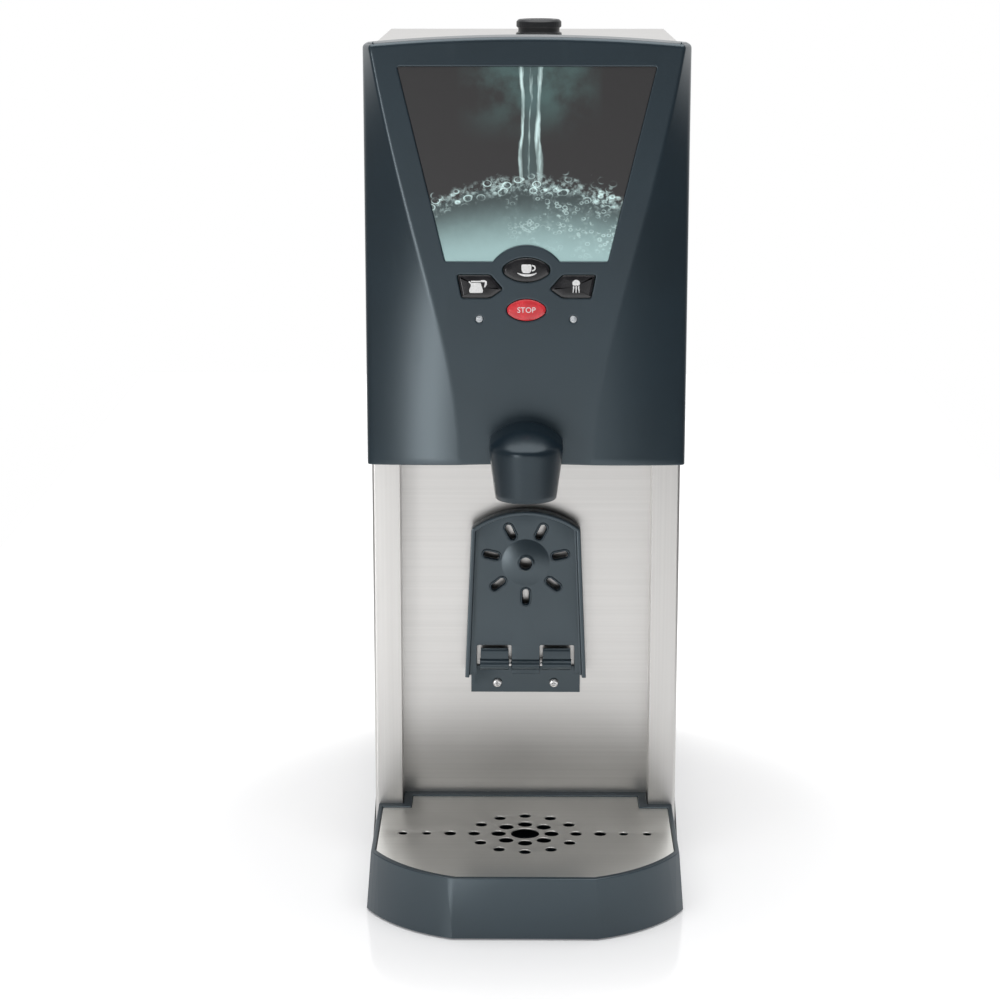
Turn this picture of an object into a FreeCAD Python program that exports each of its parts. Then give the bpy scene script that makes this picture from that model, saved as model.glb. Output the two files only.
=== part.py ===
import FreeCAD, Part
import math
import os

import Sketcher

# Countertop hot water dispenser: a steel cabinet holding a 6 litre boiler, a plastic front cover with
# four push keys and a lit picture, a spout, a fold-down cup stand and a pull-out drip tray.
# Frame: origin at the centre of the footprint on the counter, +X to the user's right, +Y to the back,
# +Z up. All sizes are millimetres.

SIZES = [
    # the cabinet
    ("case_width", 229.0, "outside width of the steel cabinet"),
    ("case_depth", 329.0, "cabinet front flanges to rear panel"),
    ("case_top", 614.0, "top of the steel cover above the counter"),
    ("steel", 1.0, "cabinet sheet thickness"),
    ("bend", 2.2, "outside bend radius of the cabinet sheet"),
    ("tray_reach", 160.0, "drip tray in front of the cabinet flanges"),
    ("inlet_reach", 20.0, "water inlet behind the rear panel"),
    ("foot_high", 10.0, "rubber feet"),
    ("foot_radius", 13.0, "rubber feet"),
    ("gap", 0.3, "working gap between pieces"),
    ("niche_half", 94.0, "half width of the cup niche"),
    ("niche_depth", 27.0, "splash panel behind the flanges"),
    ("niche_top", 317.0, "underside of the upper housing"),
    ("lip", 12.0, "turned-in edges of the sheet metal"),
    # the plastic side skirts
    ("skirt_thick", 2.5, "side skirt wall"),
    ("skirt_top", 41.0, "top of the skirts"),
    ("skirt_nose", 13.7, "top of the skirt at its front edge"),
    ("skirt_rake", 52.0, "length of the raked front edge"),
    ("skirt_bottom", 2.0, "underside of the skirts"),
    # the front cover
    ("hood_width", 233.5, "front cover width"),
    ("hood_reach", 36.5, "shield face in front of the flanges"),
    ("hood_setback", 19.0, "side edges behind the shield face"),
    ("hood_bottom", 314.0, "lower edge of the cover"),
    ("hood_over", 5.5, "top of the front cover's corners above the steel cover"),
    ("hood_arch", 5.5, "rise of the top edge to its middle"),
    ("hood_wall", 3.0, "moulded wall"),
    ("wing_radius", 220.0, "plan curve of the cover's wings"),
    ("hood_lift", 4.5, "rise of the lower edge to its middle"),
    ("crease_foot", 49.5, "half width of the shield at the bottom"),
    ("crease_low", 55.6, "half width of the shield, lower part"),
    ("crease_low_z", 386.0, "height of that width"),
    ("crease_mid", 71.0, "half width of the shield, middle"),
    ("crease_mid_z", 450.0, "height of that width"),
    ("crease_high", 91.6, "half width of the shield, upper part"),
    ("crease_high_z", 527.0, "height of that width"),
    ("crease_head", 112.5, "half width of the shield at the top"),
    ("boss_x", 80.0, "hood screws from the middle"),
    ("boss_z", 338.0, "hood screws"),
    ("boss_radius", 5.0, "hood screw bosses"),
    ("hook_x", 75.0, "hood hooks from the middle"),
    ("hook_wide", 24.0, "hood hooks"),
    ("hook_long", 8.0, "hood hooks over the steel cover"),
    # the lit picture
    ("view_top", 604.5, "top of the picture opening"),
    ("view_bottom", 466.7, "bottom of the picture opening"),
    ("view_top_half", 91.5, "half width at the top"),
    ("view_bottom_half", 58.2, "half width at the bottom"),
    ("view_notch_half", 23.9, "half width of the notch over the cup key"),
    ("view_notch_radius", 29.8, "arc of that notch"),
    ("view_sink", 0.8, "picture face below the shield face"),
    ("view_flange", 3.0, "flange of the picture behind the wall"),
    # the keys
    ("key_proud", 1.0, "key faces in front of the shield"),
    ("key_travel", 1.5, "key stroke"),
    ("key_play", 0.35, "key to its opening"),
    ("key_flange", 1.2, "retaining flange of a key"),
    ("cup_key_z", 460.8, "centre of the cup key"),
    ("cup_key_half", 16.7, "half width of the cup key"),
    ("cup_key_rise", 8.6, "half height of the cup key"),
    ("stop_key_z", 431.8, "centre of the stop key"),
    ("stop_key_half", 13.9, "half width of the stop key"),
    ("stop_key_rise", 7.7, "half height of the stop key"),
    ("side_key_top", 457.0, "top of the two side keys"),
    ("side_key_bottom", 440.8, "bottom of the two side keys"),
    ("side_key_point_z", 447.0, "height of their points"),
    ("side_key_point", 17.2, "points from the middle"),
    ("side_key_inner", 26.0, "inner corners from the middle"),
    ("side_key_outer_top", 49.5, "outer top corners from the middle"),
    ("side_key_outer_low", 46.2, "outer lower corners from the middle"),
    ("lamp_x", 33.8, "indicator lamps from the middle"),
    ("lamp_z", 425.2, "indicator lamps"),
    ("lamp_radius", 2.6, "indicator lamp"),
    # the spout
    ("spout_out", 27.2, "spout axis in front of the shield"),
    ("spout_top_radius", 27.0, "spout cover at its shoulder"),
    ("spout_low_radius", 22.0, "spout cover at its mouth"),
    ("spout_shoulder_z", 337.5, "shoulder"),
    ("spout_mouth_z", 300.0, "mouth"),
    ("spout_crown", 12.5, "dome above the shoulder"),
    ("spout_wall", 2.0, "moulded wall"),
    ("tube_z", 329.0, "outlet tube"),
    ("tube_radius", 6.0, "outlet tube, outside"),
    ("tube_bore", 4.0, "outlet tube, inside"),
    ("tube_bend", 14.0, "outlet tube, centreline bend"),
    # the cup stand
    ("stand_axis_z", 150.5, "hinge axis"),
    ("stand_axis_out", 8.3, "hinge axis in front of the splash panel"),
    ("stand_top_z", 272.3, "crown of the folded stand"),
    ("stand_shoulder_z", 258.6, "corners under the crown"),
    ("stand_top_half", 41.0, "half width at the shoulders"),
    ("stand_low_half", 46.0, "half width at the hinge"),
    ("stand_plate", 3.0, "plate thickness"),
    ("stand_rim", 3.2, "rim thickness"),
    ("stand_rim_high", 7.5, "rim above the plate"),
    ("notch_in", 11.0, "notches for the barrels, inner edge"),
    ("notch_out", 36.8, "notches for the barrels, outer edge"),
    ("notch_top_z", 165.6, "top of the notches"),
    ("stand_boss_z", 230.7, "centre of the drain pattern"),
    ("stand_boss_radius", 18.3, "dish around the middle hole"),
    ("stand_boss_rise", 2.6, "depth of the dish"),
    ("stand_hole", 4.4, "middle hole"),
    ("drain_orbit", 26.6, "drain slots from the pattern's centre"),
    ("drain_long", 11.6, "drain slot length"),
    ("drain_wide", 4.6, "drain slot width"),
    ("pin_radius", 1.5, "hinge pin"),
    ("barrel_radius", 4.4, "hinge barrels"),
    ("barrel_in", 12.6, "outer barrels, inner end"),
    ("barrel_out", 34.8, "outer barrels, outer end"),
    ("bracket_half", 41.6, "half width of the bracket"),
    ("bracket_low_z", 126.5, "bracket's lower edge"),
    ("bracket_thick", 2.5, "bracket plate"),
    ("bracket_top_z", 147.5, "bracket's upper edge"),
    ("bracket_screw_x", 21.7, "bracket screws from the middle"),
    ("bracket_screw_z", 134.0, "bracket screws"),
    # the drip tray
    ("tray_bottom", 1.0, "tray above the counter"),
    ("tray_top", 45.0, "tray rim"),
    ("tray_draft", 4.5, "draft of the tray's walls in degrees"),
    ("tray_half", 115.5, "half width at the bottom"),
    ("tray_front_half", 51.5, "half width of the front facet"),
    ("tray_corner", 104.0, "side corners in front of the flanges"),
    ("tray_facet_radius", 110.0, "curve of the side facets"),
    ("tray_ledge", 3.5, "ledge under the plate"),
    ("tray_floor", 12.5, "floor of the well"),
    ("plate_thick", 1.2, "drip plate"),
    ("plate_sink", 0.8, "drip plate below the rim"),
    ("plate_front", 151.5, "drip plate's front edge before the flanges"),
    ("plate_half", 108.4, "half width of the drip plate"),
    ("plate_front_half", 49.0, "half width of its front edge"),
    ("plate_corner", 99.0, "its side corners before the flanges"),
    ("plate_notch", 8.0, "its corners before the flanges"),
    ("plate_tail_half", 86.5, "half width of its part in the niche"),
    ("plate_tail", 9.0, "its rear edge before the splash panel"),
    ("drain_y", 63.0, "pattern's centre before the flanges"),
    ("runner_x", 62.0, "tray runners from the middle"),
    ("runner_wide", 20.0, "tray runner width"),
    ("runner_thick", 6.0, "tray runner height"),
    ("runner_long", 140.0, "tray runner behind the splash panel"),
    # the boiler
    ("tank_radius", 92.0, "tank"),
    ("tank_y", 92.0, "tank axis"),
    ("tank_floor_z", 301.5, "tank bottom"),
    ("tank_high", 240.0, "tank wall"),
    ("tank_wall", 1.5, "tank sheet"),
    ("tank_rim", 8.0, "flange around the tank mouth"),
    ("gasket_thick", 2.0, "lid gasket"),
    ("lid_thick", 3.0, "tank lid"),
    ("jacket_thick", 12.0, "foam jacket"),
    ("shelf_thick", 1.5, "shelf under the tank"),
    ("cap_x", 9.2, "filler cap from the middle"),
    ("cap_y", 89.5, "filler cap"),
    ("cap_radius", 18.0, "filler cap"),
    ("cap_high", 14.2, "filler cap above the cover"),
    ("neck_bore", 14.0, "filler neck, inside radius"),
    ("neck_wall", 2.0, "filler neck wall"),
    # rear connections
    ("inlet_x", -60.0, "water inlet"),
    ("inlet_z", 72.0, "water inlet"),
    ("inlet_radius", 13.2, "three-quarter inch male thread, outside radius"),
    ("hose_radius", 6.0, "inner hose"),
    ("gland_x", 8.0, "mains gland"),
    ("gland_z", 62.0, "mains gland"),
    ("gland_bore", 4.0, "mains gland, cable hole radius"),
    ("switch_x", 62.0, "mains switch"),
    ("switch_z", 72.0, "mains switch"),
]

doc = FreeCAD.newDocument("water_dispenser")
sheet = doc.addObject("Spreadsheet::Sheet", "sizes")


class Size:
    """A number that carries the sheet expression it comes from, so that it can be both used and bound."""

    def __init__(self, value, text):
        self.value = float(value)
        self.text = text

    @staticmethod
    def of(number):
        return number if isinstance(number, Size) else Size(number, repr(float(number)))

    def __add__(self, other):
        other = Size.of(other)
        return Size(self.value + other.value, f"({self.text} + {other.text})")

    def __sub__(self, other):
        other = Size.of(other)
        return Size(self.value - other.value, f"({self.text} - {other.text})")

    def __mul__(self, other):
        other = Size.of(other)
        return Size(self.value * other.value, f"({self.text} * {other.text})")

    def __truediv__(self, other):
        other = Size.of(other)
        return Size(self.value / other.value, f"({self.text} / {other.text})")

    def __radd__(self, other):
        return Size.of(other) + self

    def __rsub__(self, other):
        return Size.of(other) - self

    def __rmul__(self, other):
        return Size.of(other) * self

    def __neg__(self):
        return Size(-self.value, f"(-1 * {self.text})")


def root(size):
    """Square root of a size."""
    return Size(math.sqrt(size.value), f"sqrt({size.text})")


class Sheet:
    """Reads the sheet's cells by name."""

    def __init__(self):
        for row, (name, value, words) in enumerate(SIZES, start=1):
            sheet.set(f"A{row}", name)
            sheet.set(f"B{row}", str(value))
            sheet.set(f"C{row}", words)
            sheet.setAlias(f"B{row}", name)
            setattr(self, name, Size(value, f"sizes.{name}"))


S = Sheet()
doc.recompute()

HALF = S.case_width / 2
FACE_Y = (S.tray_reach - S.case_depth - S.inlet_reach) / 2
REAR_Y = FACE_Y + S.case_depth
SPLASH_Y = FACE_Y + S.niche_depth
SHIELD_Y = FACE_Y - S.hood_reach
PANEL_FLOOR = S.foot_high
COVER_Z = S.case_top - S.steel
INNER_HALF = HALF - S.steel
SPOUT_Y = SHIELD_Y - S.spout_out
BOARD_Y = SHIELD_Y + 19
BULKHEAD_Y = FACE_Y + S.steel

subparts = []


def keep(piece, label):
    """Marks an object as a sub-part and names it."""
    piece.Label = label
    subparts.append(piece)
    return piece


def bind(piece, prop, size):
    piece.setExpression(prop, Size.of(size).text)


def at(piece, x, y, z):
    """Places a piece at a point whose coordinates are bound to the sheet."""
    for name, size in (("x", x), ("y", y), ("z", z)):
        bind(piece, f"Placement.Base.{name}", size)
    return piece


# ---------------------------------------------------------------- Part primitives

TURN = {
    "x": FreeCAD.Rotation(FreeCAD.Vector(0, 1, 0), 90),
    "y": FreeCAD.Rotation(FreeCAD.Vector(1, 0, 0), -90),
    "z": FreeCAD.Rotation(),
}


def block(x, y, z):
    """A box between two bound limits on each axis."""
    piece = doc.addObject("Part::Box", "block")
    for prop, (low, high) in (("Length", x), ("Width", y), ("Height", z)):
        bind(piece, prop, Size.of(high) - low)
    return at(piece, x[0], y[0], z[0])


def rod(axis, radius, start, length):
    """A cylinder from start along +axis."""
    piece = doc.addObject("Part::Cylinder", "rod")
    piece.Placement = FreeCAD.Placement(FreeCAD.Vector(), TURN[axis])
    bind(piece, "Radius", radius)
    bind(piece, "Height", length)
    return at(piece, *start)


def ring(axis, outer, inner, start, length):
    """A tube from start along +axis."""
    return cut(rod(axis, outer, start, length), rod(axis, inner, start, length))


def fuse(*pieces):
    if len(pieces) == 1:
        return pieces[0]
    joined = doc.addObject("Part::MultiFuse", "fuse")
    joined.Shapes = list(pieces)
    joined.Refine = True
    return joined


def cut(base, *tools):
    made = doc.addObject("Part::Cut", "cut")
    made.Base = base
    made.Tool = fuse(*tools)
    made.Refine = True
    return made


def bundle(*pieces):
    """Several like solids that share one sub-part."""
    made = doc.addObject("Part::Compound", "bundle")
    made.Links = list(pieces)
    return made


def screw(axis, point, head_way, head_radius, head_high, shank_radius, shank_long):
    """A pan-head screw: its head starts at point and stands head_way (+1 or -1) along axis."""
    shift = {"x": 0, "y": 1, "z": 2}[axis]
    ends = {}
    for name, length, way in (("head", head_high, head_way), ("shank", shank_long, -head_way)):
        start = list(point)
        if way < 0:
            start[shift] = Size.of(start[shift]) - length
        ends[name] = start
    return fuse(
        rod(axis, head_radius, ends["head"], head_high),
        rod(axis, shank_radius, ends["shank"], shank_long),
    )


# ---------------------------------------------------------------- PartDesign

ROLES = {"xy": "XY_Plane", "xz": "XZ_Plane", "yz": "YZ_Plane"}


def new_body(label):
    return keep(doc.addObject("PartDesign::Body", label), label)


class Arc:
    """In an outline, makes the edge that follows a corner a round one. bulge +1 bows to its right."""

    def __init__(self, radius, bulge=1):
        self.radius = Size.of(radius)
        self.bulge = bulge


def sketch_on(body, plane, height, shift=(0, 0)):
    """A sketch on one of the body's own planes, moved by height along that plane's normal."""
    sketch = body.newObject("Sketcher::SketchObject", "sketch")
    role = ROLES[plane]
    base = [o for o in body.Origin.OriginFeatures if o.Role == role][0]
    sketch.AttachmentSupport = [(base, "")]
    sketch.MapMode = "FlatFace"
    for name, size in (("x", shift[0]), ("y", shift[1]), ("z", height)):
        bind(sketch, f"AttachmentOffset.Base.{name}", size)
    return sketch


def pin_one(sketch, kind, edge, end, size):
    size = Size.of(size)
    number = sketch.addConstraint(Sketcher.Constraint(kind, -1, 1, edge, end, size.value))
    sketch.setExpression(f"Constraints[{number}]", size.text)


def pin_down(sketch, edge, end, x, y):
    pin_one(sketch, "DistanceX", edge, end, x)
    pin_one(sketch, "DistanceY", edge, end, y)


def arc_between(start, end, radius, bulge):
    """The sketch arc from start to end. With bulge +1 it turns anticlockwise, else clockwise."""
    (ax, ay), (bx, by) = (start, end) if bulge > 0 else (end, start)
    half = math.hypot(bx - ax, by - ay) / 2
    away = math.sqrt(max(radius * radius - half * half, 0)) / (2 * half)
    cx = (ax + bx) / 2 - (by - ay) * away
    cy = (ay + by) / 2 + (bx - ax) * away
    circle = Part.Circle(FreeCAD.Vector(cx, cy, 0), FreeCAD.Vector(0, 0, 1), radius)
    first = math.atan2(ay - cy, ax - cx)
    last = math.atan2(by - cy, bx - cx)
    return Part.ArcOfCircle(circle, first, last if last > first else last + 2 * math.pi)


HALF_ROUND = 1.999999  # a chord of this many radii counts as a half circle


def outline(sketch, *steps):
    """A closed outline, anticlockwise: corners as (x, y), with an Arc after a corner for a round edge."""
    corners, arcs = [], {}
    for step in steps:
        if isinstance(step, Arc):
            arcs[len(corners) - 1] = step
        else:
            corners.append((Size.of(step[0]), Size.of(step[1])))
    plain = [(x.value, y.value) for x, y in corners]
    edges = []
    for i, (here, there) in enumerate(zip(plain, plain[1:] + plain[:1])):
        if i in arcs:
            shape = arc_between(here, there, arcs[i].radius.value, arcs[i].bulge)
            ends = (1, 2) if arcs[i].bulge > 0 else (2, 1)
        else:
            shape = Part.LineSegment(FreeCAD.Vector(*here, 0), FreeCAD.Vector(*there, 0))
            ends = (1, 2)
        edges.append((sketch.addGeometry(shape, False), ends))
    for i, (edge, ends) in enumerate(edges):
        after, after_ends = edges[(i + 1) % len(edges)]
        sketch.addConstraint(Sketcher.Constraint("Coincident", edge, ends[1], after, after_ends[0]))
    for i, (edge, ends) in enumerate(edges):
        pin_down(sketch, edge, ends[0], *corners[i])
        if i not in arcs:
            continue
        level_chord = corners[i][1].text == corners[(i + 1) % len(corners)][1].text
        chord = math.dist(plain[i], plain[(i + 1) % len(plain)])
        if level_chord and chord > HALF_ROUND * arcs[i].radius.value:
            pin_one(sketch, "DistanceY", edge, 3, corners[i][1])
            continue
        number = sketch.addConstraint(Sketcher.Constraint("Radius", edge, arcs[i].radius.value))
        sketch.setExpression(f"Constraints[{number}]", arcs[i].radius.text)
    return sketch


def circle(sketch, x, y, radius):
    x, y, radius = Size.of(x), Size.of(y), Size.of(radius)
    shape = Part.Circle(FreeCAD.Vector(x.value, y.value, 0), FreeCAD.Vector(0, 0, 1), radius.value)
    edge = sketch.addGeometry(shape, False)
    pin_down(sketch, edge, 3, x, y)
    number = sketch.addConstraint(Sketcher.Constraint("Radius", edge, radius.value))
    sketch.setExpression(f"Constraints[{number}]", radius.text)
    return sketch


def oval_steps(x, y, half, rise, end_radius):
    """An oval from two flat and two tight arcs that meet in tangency."""
    half, rise, end_radius = Size.of(half), Size.of(rise), Size.of(end_radius)
    flat = (half * half + rise * rise - 2 * half * end_radius) / (2 * (rise - end_radius))
    reach = flat - end_radius
    dx = half - end_radius + end_radius * (half - end_radius) / reach
    dy = end_radius * (flat - rise) / reach
    tight, wide = Arc(end_radius), Arc(flat)
    return [(x + dx, y - dy), tight, (x + dx, y + dy), wide, (x - dx, y + dy), tight, (x - dx, y - dy), wide]


def slot_steps(x, y, length, width):
    """An upright round-ended slot."""
    r = Size.of(width) / 2
    a = Size.of(length) / 2 - r
    return [(x - r, y - a), Arc(r), (x + r, y - a), (x + r, y + a), Arc(r), (x - r, y + a)]


def feature(body, kind, sketch):
    made = body.newObject(f"PartDesign::{kind}", kind.lower())
    made.Profile = sketch
    return made


def volume_of(body):
    doc.recompute()
    return body.Shape.Volume


def pad(body, sketch, length, reverse=False, draft=None):
    made = feature(body, "Pad", sketch)
    bind(made, "Length", length)
    made.Reversed = reverse
    if draft is not None:
        bind(made, "TaperAngle", draft)
    return made


def pocket(body, sketch, depth=None, reverse=False):
    """Removes what is in front of the sketch (against its normal), or all of it without a depth."""
    before = volume_of(body)
    made = feature(body, "Pocket", sketch)
    if depth is None:
        made.Type = "ThroughAll"
        made.SideType = "Symmetric"
    else:
        bind(made, "Length", depth)
    made.Reversed = reverse
    if volume_of(body) > before - 0.01:
        raise RuntimeError(f"a pocket in {body.Label} cuts nothing")
    return made


def revolve(body, sketch, axis):
    made = feature(body, "Revolution", sketch)
    made.ReferenceAxis = (sketch, [axis])
    made.Angle = 360.0
    return made


def loft(body, sections, cutting=False):
    made = body.newObject("PartDesign::SubtractiveLoft" if cutting else "PartDesign::AdditiveLoft", "loft")
    made.Profile = sections[0]
    made.Sections = [(s, [""]) for s in sections[1:]]
    return made


def dress(body, kind, size, wanted):
    """Fillets or chamfers the edges of the body's tip that wanted(edge) picks."""
    doc.recompute()
    base = body.Tip
    names = [f"Edge{i}" for i, e in enumerate(base.Shape.Edges, start=1) if wanted(e)]
    if not names:
        raise RuntimeError(f"no edge to dress in {body.Label}")
    made = body.newObject(f"PartDesign::{kind}", kind.lower())
    made.Base = (base, names)
    bind(made, "Radius" if kind == "Fillet" else "Size", size)
    doc.recompute()
    return made


def upright(edge, x=None, y=None, z=None, along="z", near=0.6):
    """True for a straight edge that runs along an axis and passes the given coordinates."""
    if len(edge.Vertexes) != 2:
        return False
    a, b = (v.Point for v in edge.Vertexes)
    span = {"x": abs(a.x - b.x), "y": abs(a.y - b.y), "z": abs(a.z - b.z)}
    if span[along] < 1e-6 or any(span[k] > 1e-4 for k in span if k != along):
        return False
    middle = (a + b) / 2
    for here, wanted in ((middle.x, x), (middle.y, y), (middle.z, z)):
        if wanted is not None and abs(here - Size.of(wanted).value) > near:
            return False
    return True


def facing(edge, y, near=0.05):
    """True for an edge that lies wholly in the plane at y."""
    box = edge.BoundBox
    wanted = Size.of(y).value
    return abs(box.YMin - wanted) < near and abs(box.YMax - wanted) < near


# ---------------------------------------------------------------- shared outlines


def mirrored(steps):
    """The same outline on the other side of x = 0, still anticlockwise."""
    flipped = []
    for place in reversed(range(len(steps))):
        if isinstance(steps[place], Arc):
            continue
        x, y = steps[place]
        flipped.append((-Size.of(x), y))
        if isinstance(steps[place - 1], Arc):
            flipped.append(steps[place - 1])
    return flipped


def both_sides(half_steps):
    """A symmetric outline from its right half, listed anticlockwise from the bottom to the top."""
    return half_steps + mirrored(half_steps)


def front_sketch(body, y, shift=(0, 0)):
    """A sketch in the vertical plane at y. Its x is X and its y is Z; a pad grows to the front."""
    return sketch_on(body, "xz", -y, shift)


def arch_radius(half, rise):
    return (half * half + rise * rise) / (2 * rise)


# ---------------------------------------------------------------- the steel cabinet


def side_panel(label, side):
    """A folded side: outer wall, front flange beside the niche and a rear lip for the back."""
    body = new_body(label)
    edge = S.niche_half + S.steel
    back = REAR_Y - S.steel
    steps = [
        (edge, FACE_Y),
        (HALF, FACE_Y),
        (HALF, back),
        (HALF - S.lip, back),
        (HALF - S.lip, back - S.steel),
        (INNER_HALF, back - S.steel),
        (INNER_HALF, FACE_Y + S.steel),
        (edge, FACE_Y + S.steel),
    ]
    sketch = outline(sketch_on(body, "xy", PANEL_FLOOR), *(steps if side > 0 else mirrored(steps)))
    pad(body, sketch, COVER_Z - PANEL_FLOOR)
    dress(body, "Fillet", S.bend, lambda e: upright(e, x=side * HALF, y=FACE_Y))
    dress(body, "Fillet", S.bend - S.steel, lambda e: upright(e, x=side * INNER_HALF, y=FACE_Y + S.steel))
    lip_holes = front_sketch(body, back - 2 * S.steel)
    for z in SCREW_ROWS:
        circle(lip_holes, side * SIDE_SCREW_X, z, BOLT_HOLE)
    pocket(body, lip_holes, 3 * S.steel)


BOLT_RADIUS = 2.0
BOLT_HOLE = 2.3
SIDE_SCREW_X = HALF - S.lip / 2
SCREW_ROWS = [S.foot_high + 45, (S.foot_high + S.case_top) / 2, S.case_top - 45]

side_panel("right_side_panel", 1)
side_panel("left_side_panel", -1)

# The floor pan, with turned-up edges inside the two sides and the back.
PAN_FRONT = SPLASH_Y + S.steel
PAN_BACK = REAR_Y - 2 * S.steel
PAN_TOP = PANEL_FLOOR + S.steel
FOOT_INSET = 24.0
FEET = [
    (side * (HALF - FOOT_INSET), y)
    for y in (PAN_FRONT + FOOT_INSET, PAN_BACK - FOOT_INSET)
    for side in (-1, 1)
]
PAN_TRAY = block((-INNER_HALF, INNER_HALF), (PAN_FRONT, PAN_BACK), (PANEL_FLOOR, PANEL_FLOOR + S.lip))
PAN_SPACE = block(
    (S.steel - INNER_HALF, INNER_HALF - S.steel),
    (PAN_FRONT - 1, PAN_BACK - S.steel),
    (PAN_TOP, PANEL_FLOOR + S.lip + 1),
)
PAN_HOLES = [rod("z", BOLT_HOLE, (x, y, PANEL_FLOOR - 1), S.steel + 2) for x, y in FEET]
keep(cut(PAN_TRAY, PAN_SPACE, *PAN_HOLES), "base_pan")

for name, (x, y) in zip(("front_left", "front_right", "rear_left", "rear_right"), FEET):
    foot = new_body("foot_" + name)
    profile = sketch_on(foot, "xz", -y, (x, 0))
    outline(
        profile,
        (0, 0),
        (S.foot_radius - 1.5, 0),
        (S.foot_radius, 1.5),
        (S.foot_radius - 1, S.foot_high),
        (BOLT_HOLE, S.foot_high),
        (BOLT_HOLE, S.foot_high / 2),
        (0, S.foot_high / 2),
    )
    revolve(foot, profile, "V_Axis")

FOOT_BOLTS = [
    screw("z", (x, y, PAN_TOP), 1, 4.0, 2.4, BOLT_RADIUS, S.foot_high / 2 + S.steel) for x, y in FEET
]
keep(bundle(*FOOT_BOLTS), "foot_screws")

# The splash panel is the niche's back, with a turned-forward edge on each side.
splash = new_body("splash_panel")
plan = outline(
    sketch_on(splash, "xy", PAN_TOP),
    *both_sides([
        (S.niche_half, SPLASH_Y),
        (S.niche_half, FACE_Y),
        (S.niche_half + S.steel, FACE_Y),
        (S.niche_half + S.steel, SPLASH_Y + S.steel),
    ]),
)
pad(splash, plan, S.niche_top - PAN_TOP)
slots = front_sketch(splash, SPLASH_Y - 1)
for side in (-1, 1):
    left = side * S.runner_x - S.runner_wide / 2 - 1
    right = side * S.runner_x + S.runner_wide / 2 + 1
    top = PAN_TOP + S.runner_thick + 1
    outline(slots, (left, PAN_TOP - 1), (right, PAN_TOP - 1), (right, top), (left, top))
    circle(slots, side * S.bracket_screw_x, S.bracket_screw_z, BOLT_HOLE)
pocket(splash, slots, S.steel + 2)

# The bulkhead closes the cabinet behind the front cover; its lower leaf is the niche's ceiling.
TUBE_HOLE = S.tube_radius + 1
LEAF_HALF = INNER_HALF - S.bend
bulkhead = cut(
    fuse(
        block((-LEAF_HALF, LEAF_HALF), (BULKHEAD_Y, BULKHEAD_Y + S.steel), (S.niche_top, COVER_Z)),
        block(
            (-LEAF_HALF, LEAF_HALF),
            (BULKHEAD_Y, SPLASH_Y + S.steel),
            (S.niche_top, S.niche_top + S.steel),
        ),
    ),
    rod("y", TUBE_HOLE, (0, BULKHEAD_Y - 1, S.tube_z), S.steel + 2),
    *[rod("y", BOLT_HOLE, (side * S.boss_x, BULKHEAD_Y - 1, S.boss_z), S.steel + 2) for side in (-1, 1)],
)
keep(bulkhead, "front_bulkhead")

# The lid of the cabinet, with turned-down edges inside the sides and a hole for the filler neck.
NECK_RADIUS = S.neck_bore + S.neck_wall
cover = cut(
    fuse(
        block((-HALF, HALF), (FACE_Y, REAR_Y), (COVER_Z, S.case_top)),
        cut(
            block(
                (-INNER_HALF, INNER_HALF),
                (BULKHEAD_Y + S.steel, PAN_BACK),
                (COVER_Z - S.lip, COVER_Z),
            ),
            block(
                (S.steel - INNER_HALF, INNER_HALF - S.steel),
                (BULKHEAD_Y + 2 * S.steel, PAN_BACK - S.steel),
                (COVER_Z - S.lip - 1, COVER_Z),
            ),
        ),
    ),
    rod("z", NECK_RADIUS + S.gap, (S.cap_x, S.cap_y, COVER_Z - 1), S.steel + 2),
)
keep(cover, "top_cover")

# The back, with louvres high up and holes for the water inlet, the mains gland and the switch.
SWITCH_HALF = 6.0
SWITCH_RISE = 10.0
LOUVRES = [(x, z) for z in (500, 516, 532, 548) for x in (-60, 0, 60)]
back_skin = (REAR_Y - S.steel - 1, REAR_Y + 1)
GLAND_NECK = S.gland_bore + 3
INLET_NECK = S.inlet_radius - 2.2
back_panel = cut(
    block((-HALF, HALF), (REAR_Y - S.steel, REAR_Y), (PANEL_FLOOR, COVER_Z)),
    rod("y", INLET_NECK + S.gap, (S.inlet_x, REAR_Y - S.steel - 1, S.inlet_z), S.steel + 2),
    rod("y", GLAND_NECK + S.gap, (S.gland_x, REAR_Y - S.steel - 1, S.gland_z), S.steel + 2),
    block(
        (S.switch_x - SWITCH_HALF - 1, S.switch_x + SWITCH_HALF + 1),
        back_skin,
        (S.switch_z - SWITCH_RISE - 1, S.switch_z + SWITCH_RISE + 1),
    ),
    *[block((x - 22.0, x + 22.0), back_skin, (z - 2.5, z + 2.5)) for x, z in LOUVRES],
    *[
        rod("y", BOLT_HOLE, (side * SIDE_SCREW_X, REAR_Y - S.steel - 1, z), S.steel + 2)
        for side in (-1, 1)
        for z in SCREW_ROWS
    ],
)
keep(back_panel, "rear_panel")


def skirt(label, side):
    """A plastic strip outside the cabinet's foot, raked at its front."""
    body = new_body(label)
    strip = sketch_on(body, "yz", HALF if side > 0 else -HALF - S.skirt_thick)
    outline(
        strip,
        (FACE_Y, S.skirt_bottom),
        (REAR_Y, S.skirt_bottom),
        (REAR_Y, S.skirt_top),
        (FACE_Y + S.skirt_rake, S.skirt_top),
        (FACE_Y, S.skirt_nose),
    )
    pad(body, strip, S.skirt_thick)


skirt("right_skirt", 1)
skirt("left_skirt", -1)

# ---------------------------------------------------------------- the front cover

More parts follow.
